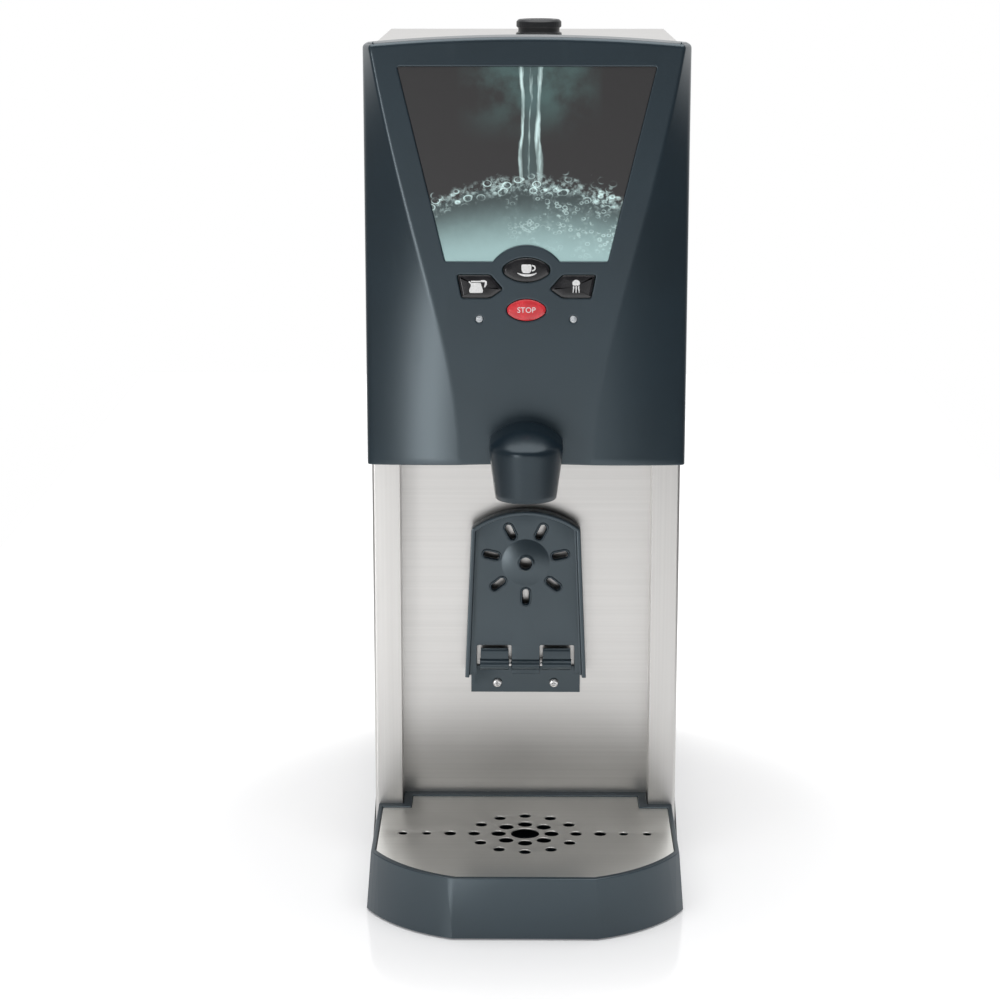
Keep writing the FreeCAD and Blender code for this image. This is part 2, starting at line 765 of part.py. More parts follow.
COVER_BACK = FACE_Y - S.gap
WALL_Y = SHIELD_Y + S.hood_wall
SIDE_Y = SHIELD_Y + S.hood_setback
HOOD_HALF = S.hood_width / 2
HOOD_SIDE_TOP = S.case_top + S.hood_over
HOOD_FLOOR = S.hood_bottom + S.hood_lift + S.hood_wall
HOOD_CROWN = HOOD_SIDE_TOP + S.hood_arch
CREASES = [
    (S.crease_foot, S.hood_bottom),
    (S.crease_low, S.crease_low_z),
    (S.crease_mid, S.crease_mid_z),
    (S.crease_high, S.crease_high_z),
    (S.crease_head, HOOD_CROWN),
]


def hood_plan(body, z, crease, wall, back):
    """A level cut through the cover, moved inward by a wall: flat shield, curved wings, straight sides."""
    half = HOOD_HALF - wall
    wing = Arc(S.wing_radius)
    return outline(
        sketch_on(body, "xy", z),
        (-half, back),
        (-half, SIDE_Y + wall),
        wing,
        (wall / 2 - crease, SHIELD_Y + wall),
        (crease - wall / 2, SHIELD_Y + wall),
        wing,
        (half, SIDE_Y + wall),
        (half, back),
    )


hood = new_body("front_cover")
loft(hood, [hood_plan(hood, z, crease, Size.of(0), COVER_BACK) for crease, z in CREASES])
inside = [(S.crease_foot, HOOD_FLOOR)] + CREASES[1:-1] + [(S.crease_head, HOOD_SIDE_TOP - S.hood_wall)]
loft(
    hood,
    [hood_plan(hood, z, crease, S.hood_wall, COVER_BACK + 1) for crease, z in inside],
    cutting=True,
)

# The arched top and bottom edges.
OVER = 10.0
trim = front_sketch(hood, COVER_BACK + 1)
outline(
    trim,
    (HOOD_HALF, HOOD_SIDE_TOP),
    (HOOD_HALF + OVER, HOOD_SIDE_TOP),
    (HOOD_HALF + OVER, HOOD_CROWN + OVER),
    (-HOOD_HALF - OVER, HOOD_CROWN + OVER),
    (-HOOD_HALF - OVER, HOOD_SIDE_TOP),
    (-HOOD_HALF, HOOD_SIDE_TOP),
    Arc(arch_radius(HOOD_HALF, S.hood_arch), -1),
)
outline(
    trim,
    (-HOOD_HALF, S.hood_bottom),
    (-HOOD_HALF, S.hood_bottom - OVER),
    (HOOD_HALF, S.hood_bottom - OVER),
    (HOOD_HALF, S.hood_bottom),
    Arc(arch_radius(HOOD_HALF, S.hood_lift)),
)
pocket(hood, trim, S.hood_reach + OVER, reverse=True)


def view_steps(grow):
    """The picture's outline, a trapezium with a round notch over the cup key, grown by a margin."""
    low = S.view_bottom - grow
    drop = root(S.view_notch_radius * S.view_notch_radius - S.view_notch_half * S.view_notch_half) - grow
    radius = S.view_notch_radius - grow
    notch = root(radius * radius - drop * drop)
    slope = (S.view_top_half - S.view_bottom_half) / (S.view_top - S.view_bottom)
    top_half = S.view_top_half + grow + grow * slope
    low_half = S.view_bottom_half + grow - grow * slope
    top = S.view_top + grow
    arc = Arc(radius, -1)
    foot = [(-low_half, low), (-notch, low), arc, (notch, low), (low_half, low)]
    return foot + [(top_half, top), (-top_half, top)]


KEYS = {
    "cup_key": lambda grow: oval_steps(
        0, S.cup_key_z, S.cup_key_half + grow, S.cup_key_rise + grow, 3.0 + grow
    ),
    "stop_key": lambda grow: oval_steps(
        0, S.stop_key_z, S.stop_key_half + grow, S.stop_key_rise + grow, 3.0 + grow
    ),
    "tap_key": lambda grow: side_key_steps(grow),
    "jug_key": lambda grow: mirrored(side_key_steps(grow)),
}
KEY_MIDDLES = {
    "cup_key": (Size.of(0), S.cup_key_z),
    "stop_key": (Size.of(0), S.stop_key_z),
    "tap_key": (S.side_key_outer_low - 10, S.side_key_point_z + 2),
    "jug_key": (10 - S.side_key_outer_low, S.side_key_point_z + 2),
}


def side_key_steps(grow):
    """The right-hand side key: a flat bar that comes to a point beside the cup key."""
    return [
        (S.side_key_inner - grow / 2, S.side_key_bottom - grow),
        (S.side_key_outer_low + grow, S.side_key_bottom - grow),
        (S.side_key_outer_top + grow, S.side_key_top + grow),
        (S.side_key_inner - grow / 2, S.side_key_top + grow),
        (S.side_key_point - grow, S.side_key_point_z),
    ]


NO_GROW = Size.of(0)
openings = front_sketch(hood, SHIELD_Y - 1)
outline(openings, *view_steps(NO_GROW))
for shape in KEYS.values():
    outline(openings, *shape(S.key_play))
for side in (-1, 1):
    circle(openings, side * S.lamp_x, S.lamp_z, S.lamp_radius + 0.1)
circle(openings, 0, S.tube_z, TUBE_HOLE)
pocket(hood, openings, S.hood_wall + 2)

# Screw bosses behind the wings and hooks over the steel cover.
BOSS_FRONT = (SHIELD_Y + SIDE_Y) / 2 - 1
bosses = front_sketch(hood, BULKHEAD_Y)
for side in (-1, 1):
    circle(bosses, side * S.boss_x, S.boss_z, S.boss_radius)
pad(hood, bosses, BULKHEAD_Y - BOSS_FRONT)
bores = front_sketch(hood, BULKHEAD_Y + 1)
for side in (-1, 1):
    circle(bores, side * S.boss_x, S.boss_z, BOLT_HOLE)
pocket(hood, bores, S.lip + 1, reverse=True)
hooks = front_sketch(hood, FACE_Y + S.hook_long)
for side in (-1, 1):
    left = side * S.hook_x - S.hook_wide / 2
    right = side * S.hook_x + S.hook_wide / 2
    high = HOOD_SIDE_TOP - S.hood_wall + 1
    outline(hooks, (left, S.case_top), (right, S.case_top), (right, high), (left, high))
pad(hood, hooks, S.hook_long + S.gap + S.hood_wall)

# The printed picture and its lamp board.
SHEET_BACK = 1.5
picture = new_body("picture_panel")
pad(
    picture,
    outline(front_sketch(picture, WALL_Y), *view_steps(-S.gap)),
    S.hood_wall - S.view_sink,
)
flange = outline(front_sketch(picture, WALL_Y), *view_steps(S.view_flange))
pad(picture, flange, SHEET_BACK, reverse=True)

LAMP_BOARD = 4.0
backlight = new_body("backlight_panel")
glow = front_sketch(backlight, WALL_Y + SHEET_BACK)
outline(
    glow,
    (-S.view_bottom_half, S.view_bottom + S.view_notch_radius / 2),
    (S.view_bottom_half, S.view_bottom + S.view_notch_radius / 2),
    (S.view_top_half, S.view_top),
    (-S.view_top_half, S.view_top),
)
pad(backlight, glow, LAMP_BOARD, reverse=True)

# ---------------------------------------------------------------- keys, switches and lamps

BOARD_THICK = 1.6
BOARD_FOOT = S.lamp_z - 15
BOARD_HEAD = S.side_key_top + 17
BOARD_HALF = S.side_key_outer_top + 6
SWITCH_SIDE = 6.0
SWITCH_BODY = 5.0
SWITCH_TIP = 1.0
FLANGE_THICK = 1.5
KEY_SEAT = 0.1
STEM_RADIUS = 3.0
stem_end = BOARD_Y - SWITCH_BODY - SWITCH_TIP - S.key_travel - KEY_SEAT
for label, shape in KEYS.items():
    key = new_body(label)
    flange_front = WALL_Y + KEY_SEAT
    cap = outline(front_sketch(key, flange_front), *shape(NO_GROW))
    pad(key, cap, S.hood_wall + KEY_SEAT + S.key_proud)
    rim = outline(front_sketch(key, flange_front), *shape(S.key_flange))
    pad(key, rim, FLANGE_THICK, reverse=True)
    stem = circle(front_sketch(key, flange_front + FLANGE_THICK), *KEY_MIDDLES[label], STEM_RADIUS)
    pad(key, stem, stem_end - flange_front - FLANGE_THICK, reverse=True)
    dress(key, "Chamfer", 0.6, lambda e: facing(e, SHIELD_Y - S.key_proud))

board = block((-BOARD_HALF, BOARD_HALF), (BOARD_Y, BOARD_Y + BOARD_THICK), (BOARD_FOOT, BOARD_HEAD))
keep(board, "control_board")
POST_RADIUS = 2.5
POST_LONG = BULKHEAD_Y - BOARD_Y - BOARD_THICK
posts = [
    rod("y", POST_RADIUS, (side * (BOARD_HALF - 6), BOARD_Y + BOARD_THICK, z), POST_LONG)
    for side in (-1, 1)
    for z in (BOARD_FOOT + 6, BOARD_HEAD - 6)
]

switches = []
for x, z in KEY_MIDDLES.values():
    case = block(
        (x - SWITCH_SIDE, x + SWITCH_SIDE),
        (BOARD_Y - SWITCH_BODY, BOARD_Y),
        (z - SWITCH_SIDE, z + SWITCH_SIDE),
    )
    switches.append(fuse(case, rod("y", 1.8, (x, BOARD_Y - SWITCH_BODY - SWITCH_TIP, z), SWITCH_TIP)))
keep(bundle(*switches), "key_switches")

for label, side in (("left_lamp", -1), ("right_lamp", 1)):
    start = SHIELD_Y - S.gap
    keep(rod("y", S.lamp_radius, (side * S.lamp_x, start, S.lamp_z), BOARD_Y - start), label)

# ---------------------------------------------------------------- the spout

SPOUT_TIP = S.spout_mouth_z
CREST_RADIUS = arch_radius(S.spout_top_radius, S.spout_crown)


def spout_plan(body, z, radius):
    """A level cut through the spout cover: round in front, straight to the shield."""
    return outline(
        sketch_on(body, "xy", z),
        (-radius, SPOUT_Y),
        Arc(radius),
        (radius, SPOUT_Y),
        (radius, SHIELD_Y),
        (-radius, SHIELD_Y),
    )


spout = new_body("spout_cover")
loft(
    spout,
    [
        spout_plan(spout, S.spout_shoulder_z, S.spout_top_radius),
        spout_plan(spout, SPOUT_TIP, S.spout_low_radius),
    ],
)
crest = front_sketch(spout, SHIELD_Y)
outline(
    crest,
    (-S.spout_top_radius, S.spout_shoulder_z),
    (S.spout_top_radius, S.spout_shoulder_z),
    Arc(CREST_RADIUS),
)
pad(spout, crest, S.spout_out)
crown = sketch_on(spout, "xz", -SPOUT_Y)
outline(
    crown,
    (0, S.spout_shoulder_z),
    (S.spout_top_radius, S.spout_shoulder_z),
    Arc(CREST_RADIUS),
    (0, S.spout_shoulder_z + S.spout_crown),
)
revolve(spout, crown, "V_Axis")
loft(
    spout,
    [
        spout_plan(spout, S.spout_shoulder_z, S.spout_top_radius - S.spout_wall),
        spout_plan(spout, SPOUT_TIP, S.spout_low_radius - S.spout_wall),
    ],
    cutting=True,
)


def quarter_bend(radius, centre, first, second):
    """A quarter of a torus from the side first of its centre to the side second."""
    bend = doc.addObject("Part::Torus", "bend")
    bind(bend, "Radius1", S.tube_bend)
    bind(bend, "Radius2", radius)
    bend.Angle3 = 90.0
    first, second = FreeCAD.Vector(*first), FreeCAD.Vector(*second)
    turn = FreeCAD.Rotation(first, second, first.cross(second), "ZXY")
    bend.Placement = FreeCAD.Placement(FreeCAD.Vector(), turn)
    return at(bend, *centre)


def outlet_way(radius):
    """Level out of the valve, round a bend at the spout's axis and down."""
    corner_y = SPOUT_Y + S.tube_bend
    corner_z = S.tube_z - S.tube_bend
    return fuse(
        rod("y", radius, (0, corner_y, S.tube_z), VALVE_FRONT - corner_y),
        quarter_bend(radius, (0, corner_y, corner_z), (0, 0, 1), (0, -1, 0)),
        rod("z", radius, (0, SPOUT_Y, TUBE_END), corner_z - TUBE_END),
    )


VALVE_FRONT = SPLASH_Y + S.steel + 8
VALVE_LONG = 30.0
VALVE_BACK = VALVE_FRONT + VALVE_LONG
TUBE_END = SPOUT_TIP + 5
keep(cut(outlet_way(S.tube_radius), outlet_way(S.tube_bore)), "outlet_tube")
sleeve = ring("z", S.tube_radius + 2.5, S.tube_radius + 0.1, (0, SPOUT_Y, SPOUT_TIP + 2), 10.0)
keep(sleeve, "spout_nozzle")

# ---------------------------------------------------------------- the cup stand

AXIS_Y = SPLASH_Y - S.stand_axis_out
PLATE_BACK = AXIS_Y + S.stand_plate / 2
PLATE_FRONT = AXIS_Y - S.stand_plate / 2
RIM_FRONT = PLATE_FRONT - S.stand_rim_high
HEEL_Z = S.stand_axis_z - S.stand_axis_out + S.gap
FIT = 0.08


def stand_steps(grow, low, crown):
    """The stand's outline: sides that spread downward from the shoulders and an arched top."""
    low_half = S.stand_low_half + grow
    top_half = S.stand_top_half + grow
    rise = S.stand_top_z - S.stand_shoulder_z
    arch = Arc(arch_radius(top_half, rise))
    shoulder = S.stand_shoulder_z + crown
    return [(-low_half, low), (low_half, low), (top_half, shoulder), arch, (-top_half, shoulder)]


stand = new_body("cup_stand")
outer = outline(front_sketch(stand, PLATE_BACK), *stand_steps(NO_GROW, HEEL_Z, NO_GROW))
pad(stand, outer, PLATE_BACK - RIM_FRONT)
well = outline(front_sketch(stand, PLATE_FRONT), *stand_steps(-S.stand_rim, HEEL_Z - 1, -S.stand_rim))
pocket(stand, well, S.stand_rim_high + 1, reverse=True)
HEEL_TOP = S.stand_axis_z + 1
notch_half = S.stand_low_half - S.stand_rim
NOTCH = front_sketch(stand, RIM_FRONT - 1)
outline(
    NOTCH,
    (-notch_half, HEEL_Z - 1),
    (notch_half, HEEL_Z - 1),
    (notch_half, HEEL_TOP),
    (S.notch_out, HEEL_TOP),
    (S.notch_out, S.notch_top_z),
    (S.notch_in, S.notch_top_z),
    (S.notch_in, HEEL_TOP),
    (-S.notch_in, HEEL_TOP),
    (-S.notch_in, S.notch_top_z),
    (-S.notch_out, S.notch_top_z),
    (-S.notch_out, HEEL_TOP),
    (-notch_half, HEEL_TOP),
)
pocket(stand, NOTCH, PLATE_BACK - RIM_FRONT + 2)
knuckle = sketch_on(stand, "yz", -S.notch_in)
circle(knuckle, AXIS_Y, S.stand_axis_z, S.barrel_radius)
pad(stand, knuckle, 2 * S.notch_in)
pin_way = sketch_on(stand, "yz", -S.notch_in - 1)
circle(pin_way, AXIS_Y, S.stand_axis_z, S.pin_radius + FIT)
pocket(stand, pin_way, 2 * S.notch_in + 2, reverse=True)

# The dish around the middle hole stands out on the folded side; seven slots drain around it.
bulge = sketch_on(stand, "yz", 0, (0, S.stand_boss_z))
outline(
    bulge,
    (PLATE_FRONT - S.stand_boss_rise, 0),
    (AXIS_Y, 0),
    (AXIS_Y, S.stand_boss_radius),
    (PLATE_FRONT, S.stand_boss_radius),
    Arc(arch_radius(S.stand_boss_radius, S.stand_boss_rise)),
)
revolve(stand, bulge, "H_Axis")
hollow = sketch_on(stand, "yz", 0, (0, S.stand_boss_z))
outline(
    hollow,
    (PLATE_BACK - S.stand_boss_rise, 0),
    (PLATE_BACK + 1, 0),
    (PLATE_BACK + 1, S.stand_boss_radius),
    (PLATE_BACK, S.stand_boss_radius),
    Arc(arch_radius(S.stand_boss_radius, S.stand_boss_rise)),
)
groove = feature(stand, "Groove", hollow)
groove.ReferenceAxis = (hollow, ["H_Axis"])
groove.Angle = 360.0
hole = circle(front_sketch(stand, RIM_FRONT, (0, S.stand_boss_z)), 0, 0, S.stand_hole)
pocket(stand, hole, PLATE_BACK - RIM_FRONT + 1)
drain = front_sketch(stand, PLATE_FRONT, (0, S.stand_boss_z))
outline(drain, *slot_steps(NO_GROW, -S.drain_orbit, S.drain_long, S.drain_wide))
first_drain = pocket(stand, drain, S.stand_plate + 1)
drains = stand.newObject("PartDesign::PolarPattern", "drains")
drains.Originals = [first_drain]
drains.Axis = (drain, ["N_Axis"])
drains.Angle = 360.0
drains.Occurrences = 7
stand.Tip = drains
dress(stand, "Fillet", 3.0, lambda e: upright(e, z=S.stand_shoulder_z, along="y", near=2) and e.Length > 8)

# The bracket and its two barrels, the pin through all three, and the screws.
BRACKET_FRONT = SPLASH_Y - S.bracket_thick
bracket_plate = block(
    (-S.bracket_half, S.bracket_half),
    (BRACKET_FRONT, SPLASH_Y),
    (S.bracket_low_z, S.bracket_top_z),
)
barrels = []
pin_bores = []
for side in (-1, 1):
    start = side * (S.barrel_in + S.barrel_out) / 2 - (S.barrel_out - S.barrel_in) / 2
    end = start + S.barrel_out - S.barrel_in
    barrels.append(rod("x", S.barrel_radius, (start, AXIS_Y, S.stand_axis_z), S.barrel_out - S.barrel_in))
    barrels.append(
        block((start, end), (AXIS_Y, BRACKET_FRONT), (S.stand_axis_z - S.barrel_radius, S.stand_axis_z))
    )
    barrels.append(block((start, end), (BRACKET_FRONT, SPLASH_Y), (S.bracket_low_z, S.stand_axis_z)))
    screw_place = (side * S.bracket_screw_x, BRACKET_FRONT - 1, S.bracket_screw_z)
    pin_bores.append(rod("y", BOLT_HOLE, screw_place, S.bracket_thick + 2))
pin_bores.append(
    rod("x", S.pin_radius + FIT, (-S.barrel_out - 1, AXIS_Y, S.stand_axis_z), 2 * S.barrel_out + 2)
)
keep(cut(fuse(bracket_plate, *barrels), *pin_bores), "stand_bracket")
keep(rod("x", S.pin_radius, (-S.barrel_out, AXIS_Y, S.stand_axis_z), 2 * S.barrel_out), "hinge_pin")
STAND_SCREWS = [
    screw("y", (side * S.bracket_screw_x, BRACKET_FRONT, S.bracket_screw_z), -1, 3.4, 1.8, BOLT_RADIUS, 8.0)
    for side in (-1, 1)
]
keep(bundle(*STAND_SCREWS), "stand_screws")

# ---------------------------------------------------------------- the drip tray

TRAY_BACK = FACE_Y - 0.5
TAIL_BACK = SPLASH_Y - S.gap
TAIL_HALF = S.niche_half - 0.5
TAPER = math.tan(math.radians(S.tray_draft.value))
LEAN = (S.tray_top - S.tray_bottom) * Size(TAPER, "tan(sizes.tray_draft)")


def tray_steps(inset):
    """The tray's outline before the cabinet: straight sides, rounded facets and a flat front."""
    half = S.tray_half - inset
    front_half = S.tray_front_half - inset / 2
    corner = FACE_Y - S.tray_corner + inset / 2
    front = FACE_Y - S.tray_reach + inset
    facet = Arc(S.tray_facet_radius)
    return both_sides([(front_half, front), facet, (half, corner), (half, TRAY_BACK)])


PLATE_NOTCH = FACE_Y - S.plate_notch
PLATE_REAR = SPLASH_Y - S.plate_tail


def plate_front_steps(grow):
    """The right half of the drip plate's outline, as far as the cabinet's flanges."""
    half = S.plate_half + grow
    return [
        (S.plate_front_half + grow / 2, FACE_Y - S.plate_front - grow),
        Arc(S.tray_facet_radius),
        (half, FACE_Y - S.plate_corner - grow / 2),
        (half, PLATE_NOTCH + grow),
    ]


def plate_steps(grow):
    """The whole drip plate's outline, with its corners cut back around the flanges."""
    tail = S.plate_tail_half + grow
    return both_sides(
        plate_front_steps(grow) + [(tail, PLATE_NOTCH + grow), (tail, PLATE_REAR + grow)]
    )


PLATE_TOP = S.tray_top - S.plate_sink
PLATE_LOW = PLATE_TOP - S.plate_thick
TRAY_WALL = 2.5
tray = new_body("drip_tray")
loft(
    tray,
    [
        outline(sketch_on(tray, "xy", S.tray_bottom), *tray_steps(NO_GROW)),
        outline(sketch_on(tray, "xy", S.tray_top), *tray_steps(LEAN)),
    ],
)
tail = sketch_on(tray, "xy", S.tray_bottom)
outline(
    tail,
    (-TAIL_HALF, TRAY_BACK - LEAN),
    (TAIL_HALF, TRAY_BACK - LEAN),
    (TAIL_HALF, TAIL_BACK),
    (-TAIL_HALF, TAIL_BACK),
)
pad(tray, tail, S.tray_top - S.tray_bottom)
seat = outline(sketch_on(tray, "xy", S.tray_top), *plate_steps(S.gap))
pocket(tray, seat, S.tray_top - PLATE_LOW)
basin = outline(sketch_on(tray, "xy", PLATE_LOW), *plate_steps(-S.tray_ledge))
pocket(tray, basin, PLATE_LOW - S.tray_floor)
under = outline(sketch_on(tray, "xy", S.tray_bottom), *plate_steps(-S.tray_ledge))
pocket(tray, under, S.tray_floor - TRAY_WALL - S.tray_bottom, reverse=True)
RUNNER_LOW = PAN_TOP + S.gap
for side in (-1, 1):
    runner = front_sketch(tray, SPLASH_Y + S.runner_long)
    left = side * S.runner_x - S.runner_wide / 2
    right = side * S.runner_x + S.runner_wide / 2
    high = RUNNER_LOW + S.runner_thick
    outline(runner, (left, RUNNER_LOW), (right, RUNNER_LOW), (right, high), (left, high))
    pad(tray, runner, S.runner_long + S.gap + 1)

# Orbit, radius and angles of the drain holes.
HOLE_RINGS = [(0, 10.5, [0]), (19.6, 5.4, range(0, 360, 45)), (37.8, 4.3, range(0, 360, 30))]
HOLE_RINGS += [(55.6, 4.4, (0, 180)), (73.0, 3.3, (0, 180)), (90.5, 3.3, (0, 180))]
# The plate is one sheet. Its tongue between the flanges is a solid of its own, so neither has a notch.
plate = new_body("drip_plate")
plate_edge = both_sides(plate_front_steps(NO_GROW))
pad(plate, outline(sketch_on(plate, "xy", PLATE_LOW), *plate_edge), S.plate_thick)
tongue = new_body("drip_plate_tongue")
tongue_edge = outline(
    sketch_on(tongue, "xy", PLATE_LOW),
    (-S.plate_tail_half, PLATE_NOTCH),
    (S.plate_tail_half, PLATE_NOTCH),
    (S.plate_tail_half, PLATE_REAR),
    (-S.plate_tail_half, PLATE_REAR),
)
pad(tongue, tongue_edge, S.plate_thick)
holes = sketch_on(plate, "xy", PLATE_TOP)
for orbit, radius, angles in HOLE_RINGS:
    for angle in map(math.radians, angles):
        circle(holes, orbit * math.cos(angle), FACE_Y - S.drain_y + orbit * math.sin(angle), radius)
pocket(plate, holes, S.plate_thick + 1)

# ---------------------------------------------------------------- the boiler

JACKET_LOW = S.tank_floor_z - S.jacket_thick
TANK_TOP = S.tank_floor_z + S.tank_high
LID_LOW = TANK_TOP + S.gasket_thick
LID_TOP = LID_LOW + S.lid_thick
JACKET_IN = S.tank_radius + S.gap
JACKET_OUT = JACKET_IN + S.jacket_thick
RIM_OUT = S.tank_radius + S.tank_rim
SHELF_LOW = JACKET_LOW - S.shelf_thick
HOSE_INSET = 15.0
hose_orbit = S.tank_radius - HOSE_INSET
HOSE_RISE_Y = S.tank_y + root(hose_orbit * hose_orbit - S.inlet_x * S.inlet_x)
HOSE_X = S.inlet_x
OUTLET_BACK = S.tank_y - S.tank_radius
THROUGH = 0.3
SCREW_ROOM = 10.0

HOSE_HOLE = S.hose_radius + 1
SHELF_DEEP = (SPLASH_Y + S.steel, REAR_Y - 2 * S.steel)
shelf = cut(
    fuse(
        block((-INNER_HALF, INNER_HALF), SHELF_DEEP, (SHELF_LOW, JACKET_LOW)),
        *[
            block((x, x + S.shelf_thick), SHELF_DEEP, (SHELF_LOW - S.lip, SHELF_LOW))
            for x in (-INNER_HALF, INNER_HALF - S.shelf_thick)
        ],
    ),
    rod("z", HOSE_HOLE, (HOSE_X, HOSE_RISE_Y, SHELF_LOW - 1), S.shelf_thick + 2),
)
keep(shelf, "tank_shelf")

jacket = cut(
    rod("z", JACKET_OUT, (0, S.tank_y, JACKET_LOW), TANK_TOP - SCREW_ROOM - JACKET_LOW),
    rod("z", JACKET_IN, (0, S.tank_y, S.tank_floor_z), S.tank_high),
    rod("z", HOSE_HOLE, (HOSE_X, HOSE_RISE_Y, JACKET_LOW - 1), S.jacket_thick + 2),
    rod("y", S.tube_radius + 2, (0, S.tank_y - JACKET_OUT - 1, S.tube_z), S.jacket_thick + 8),
)
keep(jacket, "insulation_jacket")

LID_BOLTS = 8
BOLT_CIRCLE = S.tank_radius + S.tank_rim / 2


def around(count, orbit):
    """Points evenly around the tank's axis."""
    for step in range(count):
        angle = 2 * math.pi * (step + 0.5) / count
        yield orbit * math.cos(angle), S.tank_y + orbit * math.sin(angle)


tank = cut(
    fuse(
        rod("z", S.tank_radius, (0, S.tank_y, S.tank_floor_z), S.tank_high),
        rod("z", RIM_OUT, (0, S.tank_y, TANK_TOP - S.tank_wall), S.tank_wall),
        rod("y", S.tube_radius, (0, VALVE_BACK, S.tube_z), OUTLET_BACK - VALVE_BACK + 8),
    ),
    rod("z", S.tank_radius - S.tank_wall, (0, S.tank_y, S.tank_floor_z + S.tank_wall), S.tank_high),
    rod("y", S.tube_bore, (0, VALVE_BACK - 1, S.tube_z), OUTLET_BACK - VALVE_BACK + 10),
    rod("z", S.hose_radius + THROUGH, (HOSE_X, HOSE_RISE_Y, S.tank_floor_z - 1), S.tank_wall + 2),
    *[
        rod("z", BOLT_HOLE, (x, y, TANK_TOP - S.tank_wall - 1), S.tank_wall + 2)
        for x, y in around(LID_BOLTS, BOLT_CIRCLE)
    ],
)
keep(tank, "boiler_tank")

gasket = ring("z", RIM_OUT, S.tank_radius - 2, (0, S.tank_y, TANK_TOP), S.gasket_thick)
gasket_holes = [
    rod("z", BOLT_HOLE, (x, y, TANK_TOP - 1), S.gasket_thick + 2) for x, y in around(LID_BOLTS, BOLT_CIRCLE)
]
keep(cut(gasket, *gasket_holes), "tank_gasket")

# What passes through the lid: x and y from the tank's axis, and the radius of its stem.
ELEMENT_X = 48.0
PROBE = (-45.0, 20.0)
SENSOR = (-45.0, -20.0)
CUTOUT = (0.0, -55.0)
STEM = 3.0
ELEMENT_ROD = 4.2
LEG_ROD = 3.6
LEG_GAP = 12.0
legs = [(ELEMENT_X, LEG_GAP), (ELEMENT_X, -LEG_GAP)]
lid_cuts = [
    rod("z", BOLT_HOLE, (x, y, LID_LOW - 1), S.lid_thick + 2) for x, y in around(LID_BOLTS, BOLT_CIRCLE)
]
for (x, y), radius in ((legs[0], LEG_ROD), (legs[1], LEG_ROD), (PROBE, STEM), (SENSOR, STEM)):
    lid_cuts.append(rod("z", radius + THROUGH, (x, S.tank_y + y, LID_LOW - 1), S.lid_thick + 2))
lid_cuts.append(rod("z", S.neck_bore, (S.cap_x, S.cap_y, LID_LOW - 1), S.lid_thick + 2))
keep(cut(rod("z", RIM_OUT, (0, S.tank_y, LID_LOW), S.lid_thick), *lid_cuts), "tank_lid")
LID_STACK = S.lid_thick + S.gasket_thick + S.tank_wall
lid_screws = [
    screw("z", (x, y, LID_TOP), 1, 3.6, 2.4, BOLT_RADIUS, LID_STACK + 5)
    for x, y in around(LID_BOLTS, BOLT_CIRCLE)
]
keep(bundle(*lid_screws), "tank_lid_screws")

# The heating element hangs from its head: two legs that meet in a ring near the tank's floor.
RING_RADIUS = math.hypot(ELEMENT_X, LEG_GAP)
RING_Z = S.tank_floor_z + 22
coil_ring = doc.addObject("Part::Torus", "ring")
bind(coil_ring, "Radius1", RING_RADIUS)
bind(coil_ring, "Radius2", ELEMENT_ROD)
at(coil_ring, 0, S.tank_y, RING_Z)
HEAD_HIGH = 5.0
ring_legs = [
    rod("z", LEG_ROD, (ELEMENT_X, S.tank_y + y, RING_Z), LID_TOP + HEAD_HIGH + 8 - RING_Z)
    for y in (LEG_GAP, -LEG_GAP)
]
element_head = block(
    (ELEMENT_X - 14, ELEMENT_X + 14),
    (S.tank_y - LEG_GAP - 12, S.tank_y + LEG_GAP + 12),
    (LID_TOP, LID_TOP + HEAD_HIGH),
)
keep(fuse(coil_ring, *ring_legs, element_head), "heating_element")


def probe(place, reach):
    """A rod with a hexagon-sized head that screws into the lid."""
    x, y = place[0], S.tank_y + place[1]
    return fuse(
        rod("z", STEM, (x, y, LID_TOP - reach), Size.of(reach)),
        rod("z", 7.0, (x, y, LID_TOP), 6.0),
        rod("z", STEM, (x, y, LID_TOP + 6), 9.0),
    )


keep(bundle(probe(PROBE, 45.0), probe(SENSOR, 150.0)), "tank_probes")
cutout_y = S.tank_y + CUTOUT[1]
keep(
    fuse(
        rod("z", 12.0, (CUTOUT[0], cutout_y, LID_TOP), 8.0),
        block((-4, 4), (cutout_y - 9, cutout_y + 9), (LID_TOP + 8, LID_TOP + 14)),
    ),
    "overheat_cutout",
)

# The filler neck stands on the lid and passes the cover; the cap closes it over a seal.
SEAL_THICK = 1.0
CAP_LOW = S.case_top + SEAL_THICK
neck_foot = ring("z", NECK_RADIUS + 6, S.neck_bore, (S.cap_x, S.cap_y, LID_TOP), 3.0)
neck_pipe = ring("z", NECK_RADIUS, S.neck_bore, (S.cap_x, S.cap_y, LID_TOP), S.case_top - LID_TOP)
keep(fuse(neck_foot, neck_pipe), "filler_neck")
keep(
    ring("z", S.cap_radius - 0.6, S.neck_bore + 0.4, (S.cap_x, S.cap_y, S.case_top), SEAL_THICK),
    "cap_seal",
)
cap = new_body("filler_cap")
CAP_TOP = S.case_top + S.cap_high
GRIP = 1.4
PLUG = S.neck_bore - 0.4
PLUG_LONG = 16.0
cap_half = sketch_on(cap, "xz", -S.cap_y, (S.cap_x, 0))
outline(
    cap_half,
    (0, S.case_top - PLUG_LONG),
    (PLUG - 1.5, S.case_top - PLUG_LONG),
    (PLUG, S.case_top - PLUG_LONG + 1.5),
    (PLUG, CAP_LOW),
    (S.cap_radius - GRIP, CAP_LOW),
    (S.cap_radius - GRIP, CAP_TOP - 6.5),
    (S.cap_radius, CAP_TOP - 5.5),
    (S.cap_radius, CAP_TOP - 2),
    (S.cap_radius - 2.5, CAP_TOP),
    (0, CAP_TOP),
)
revolve(cap, cap_half, "V_Axis")

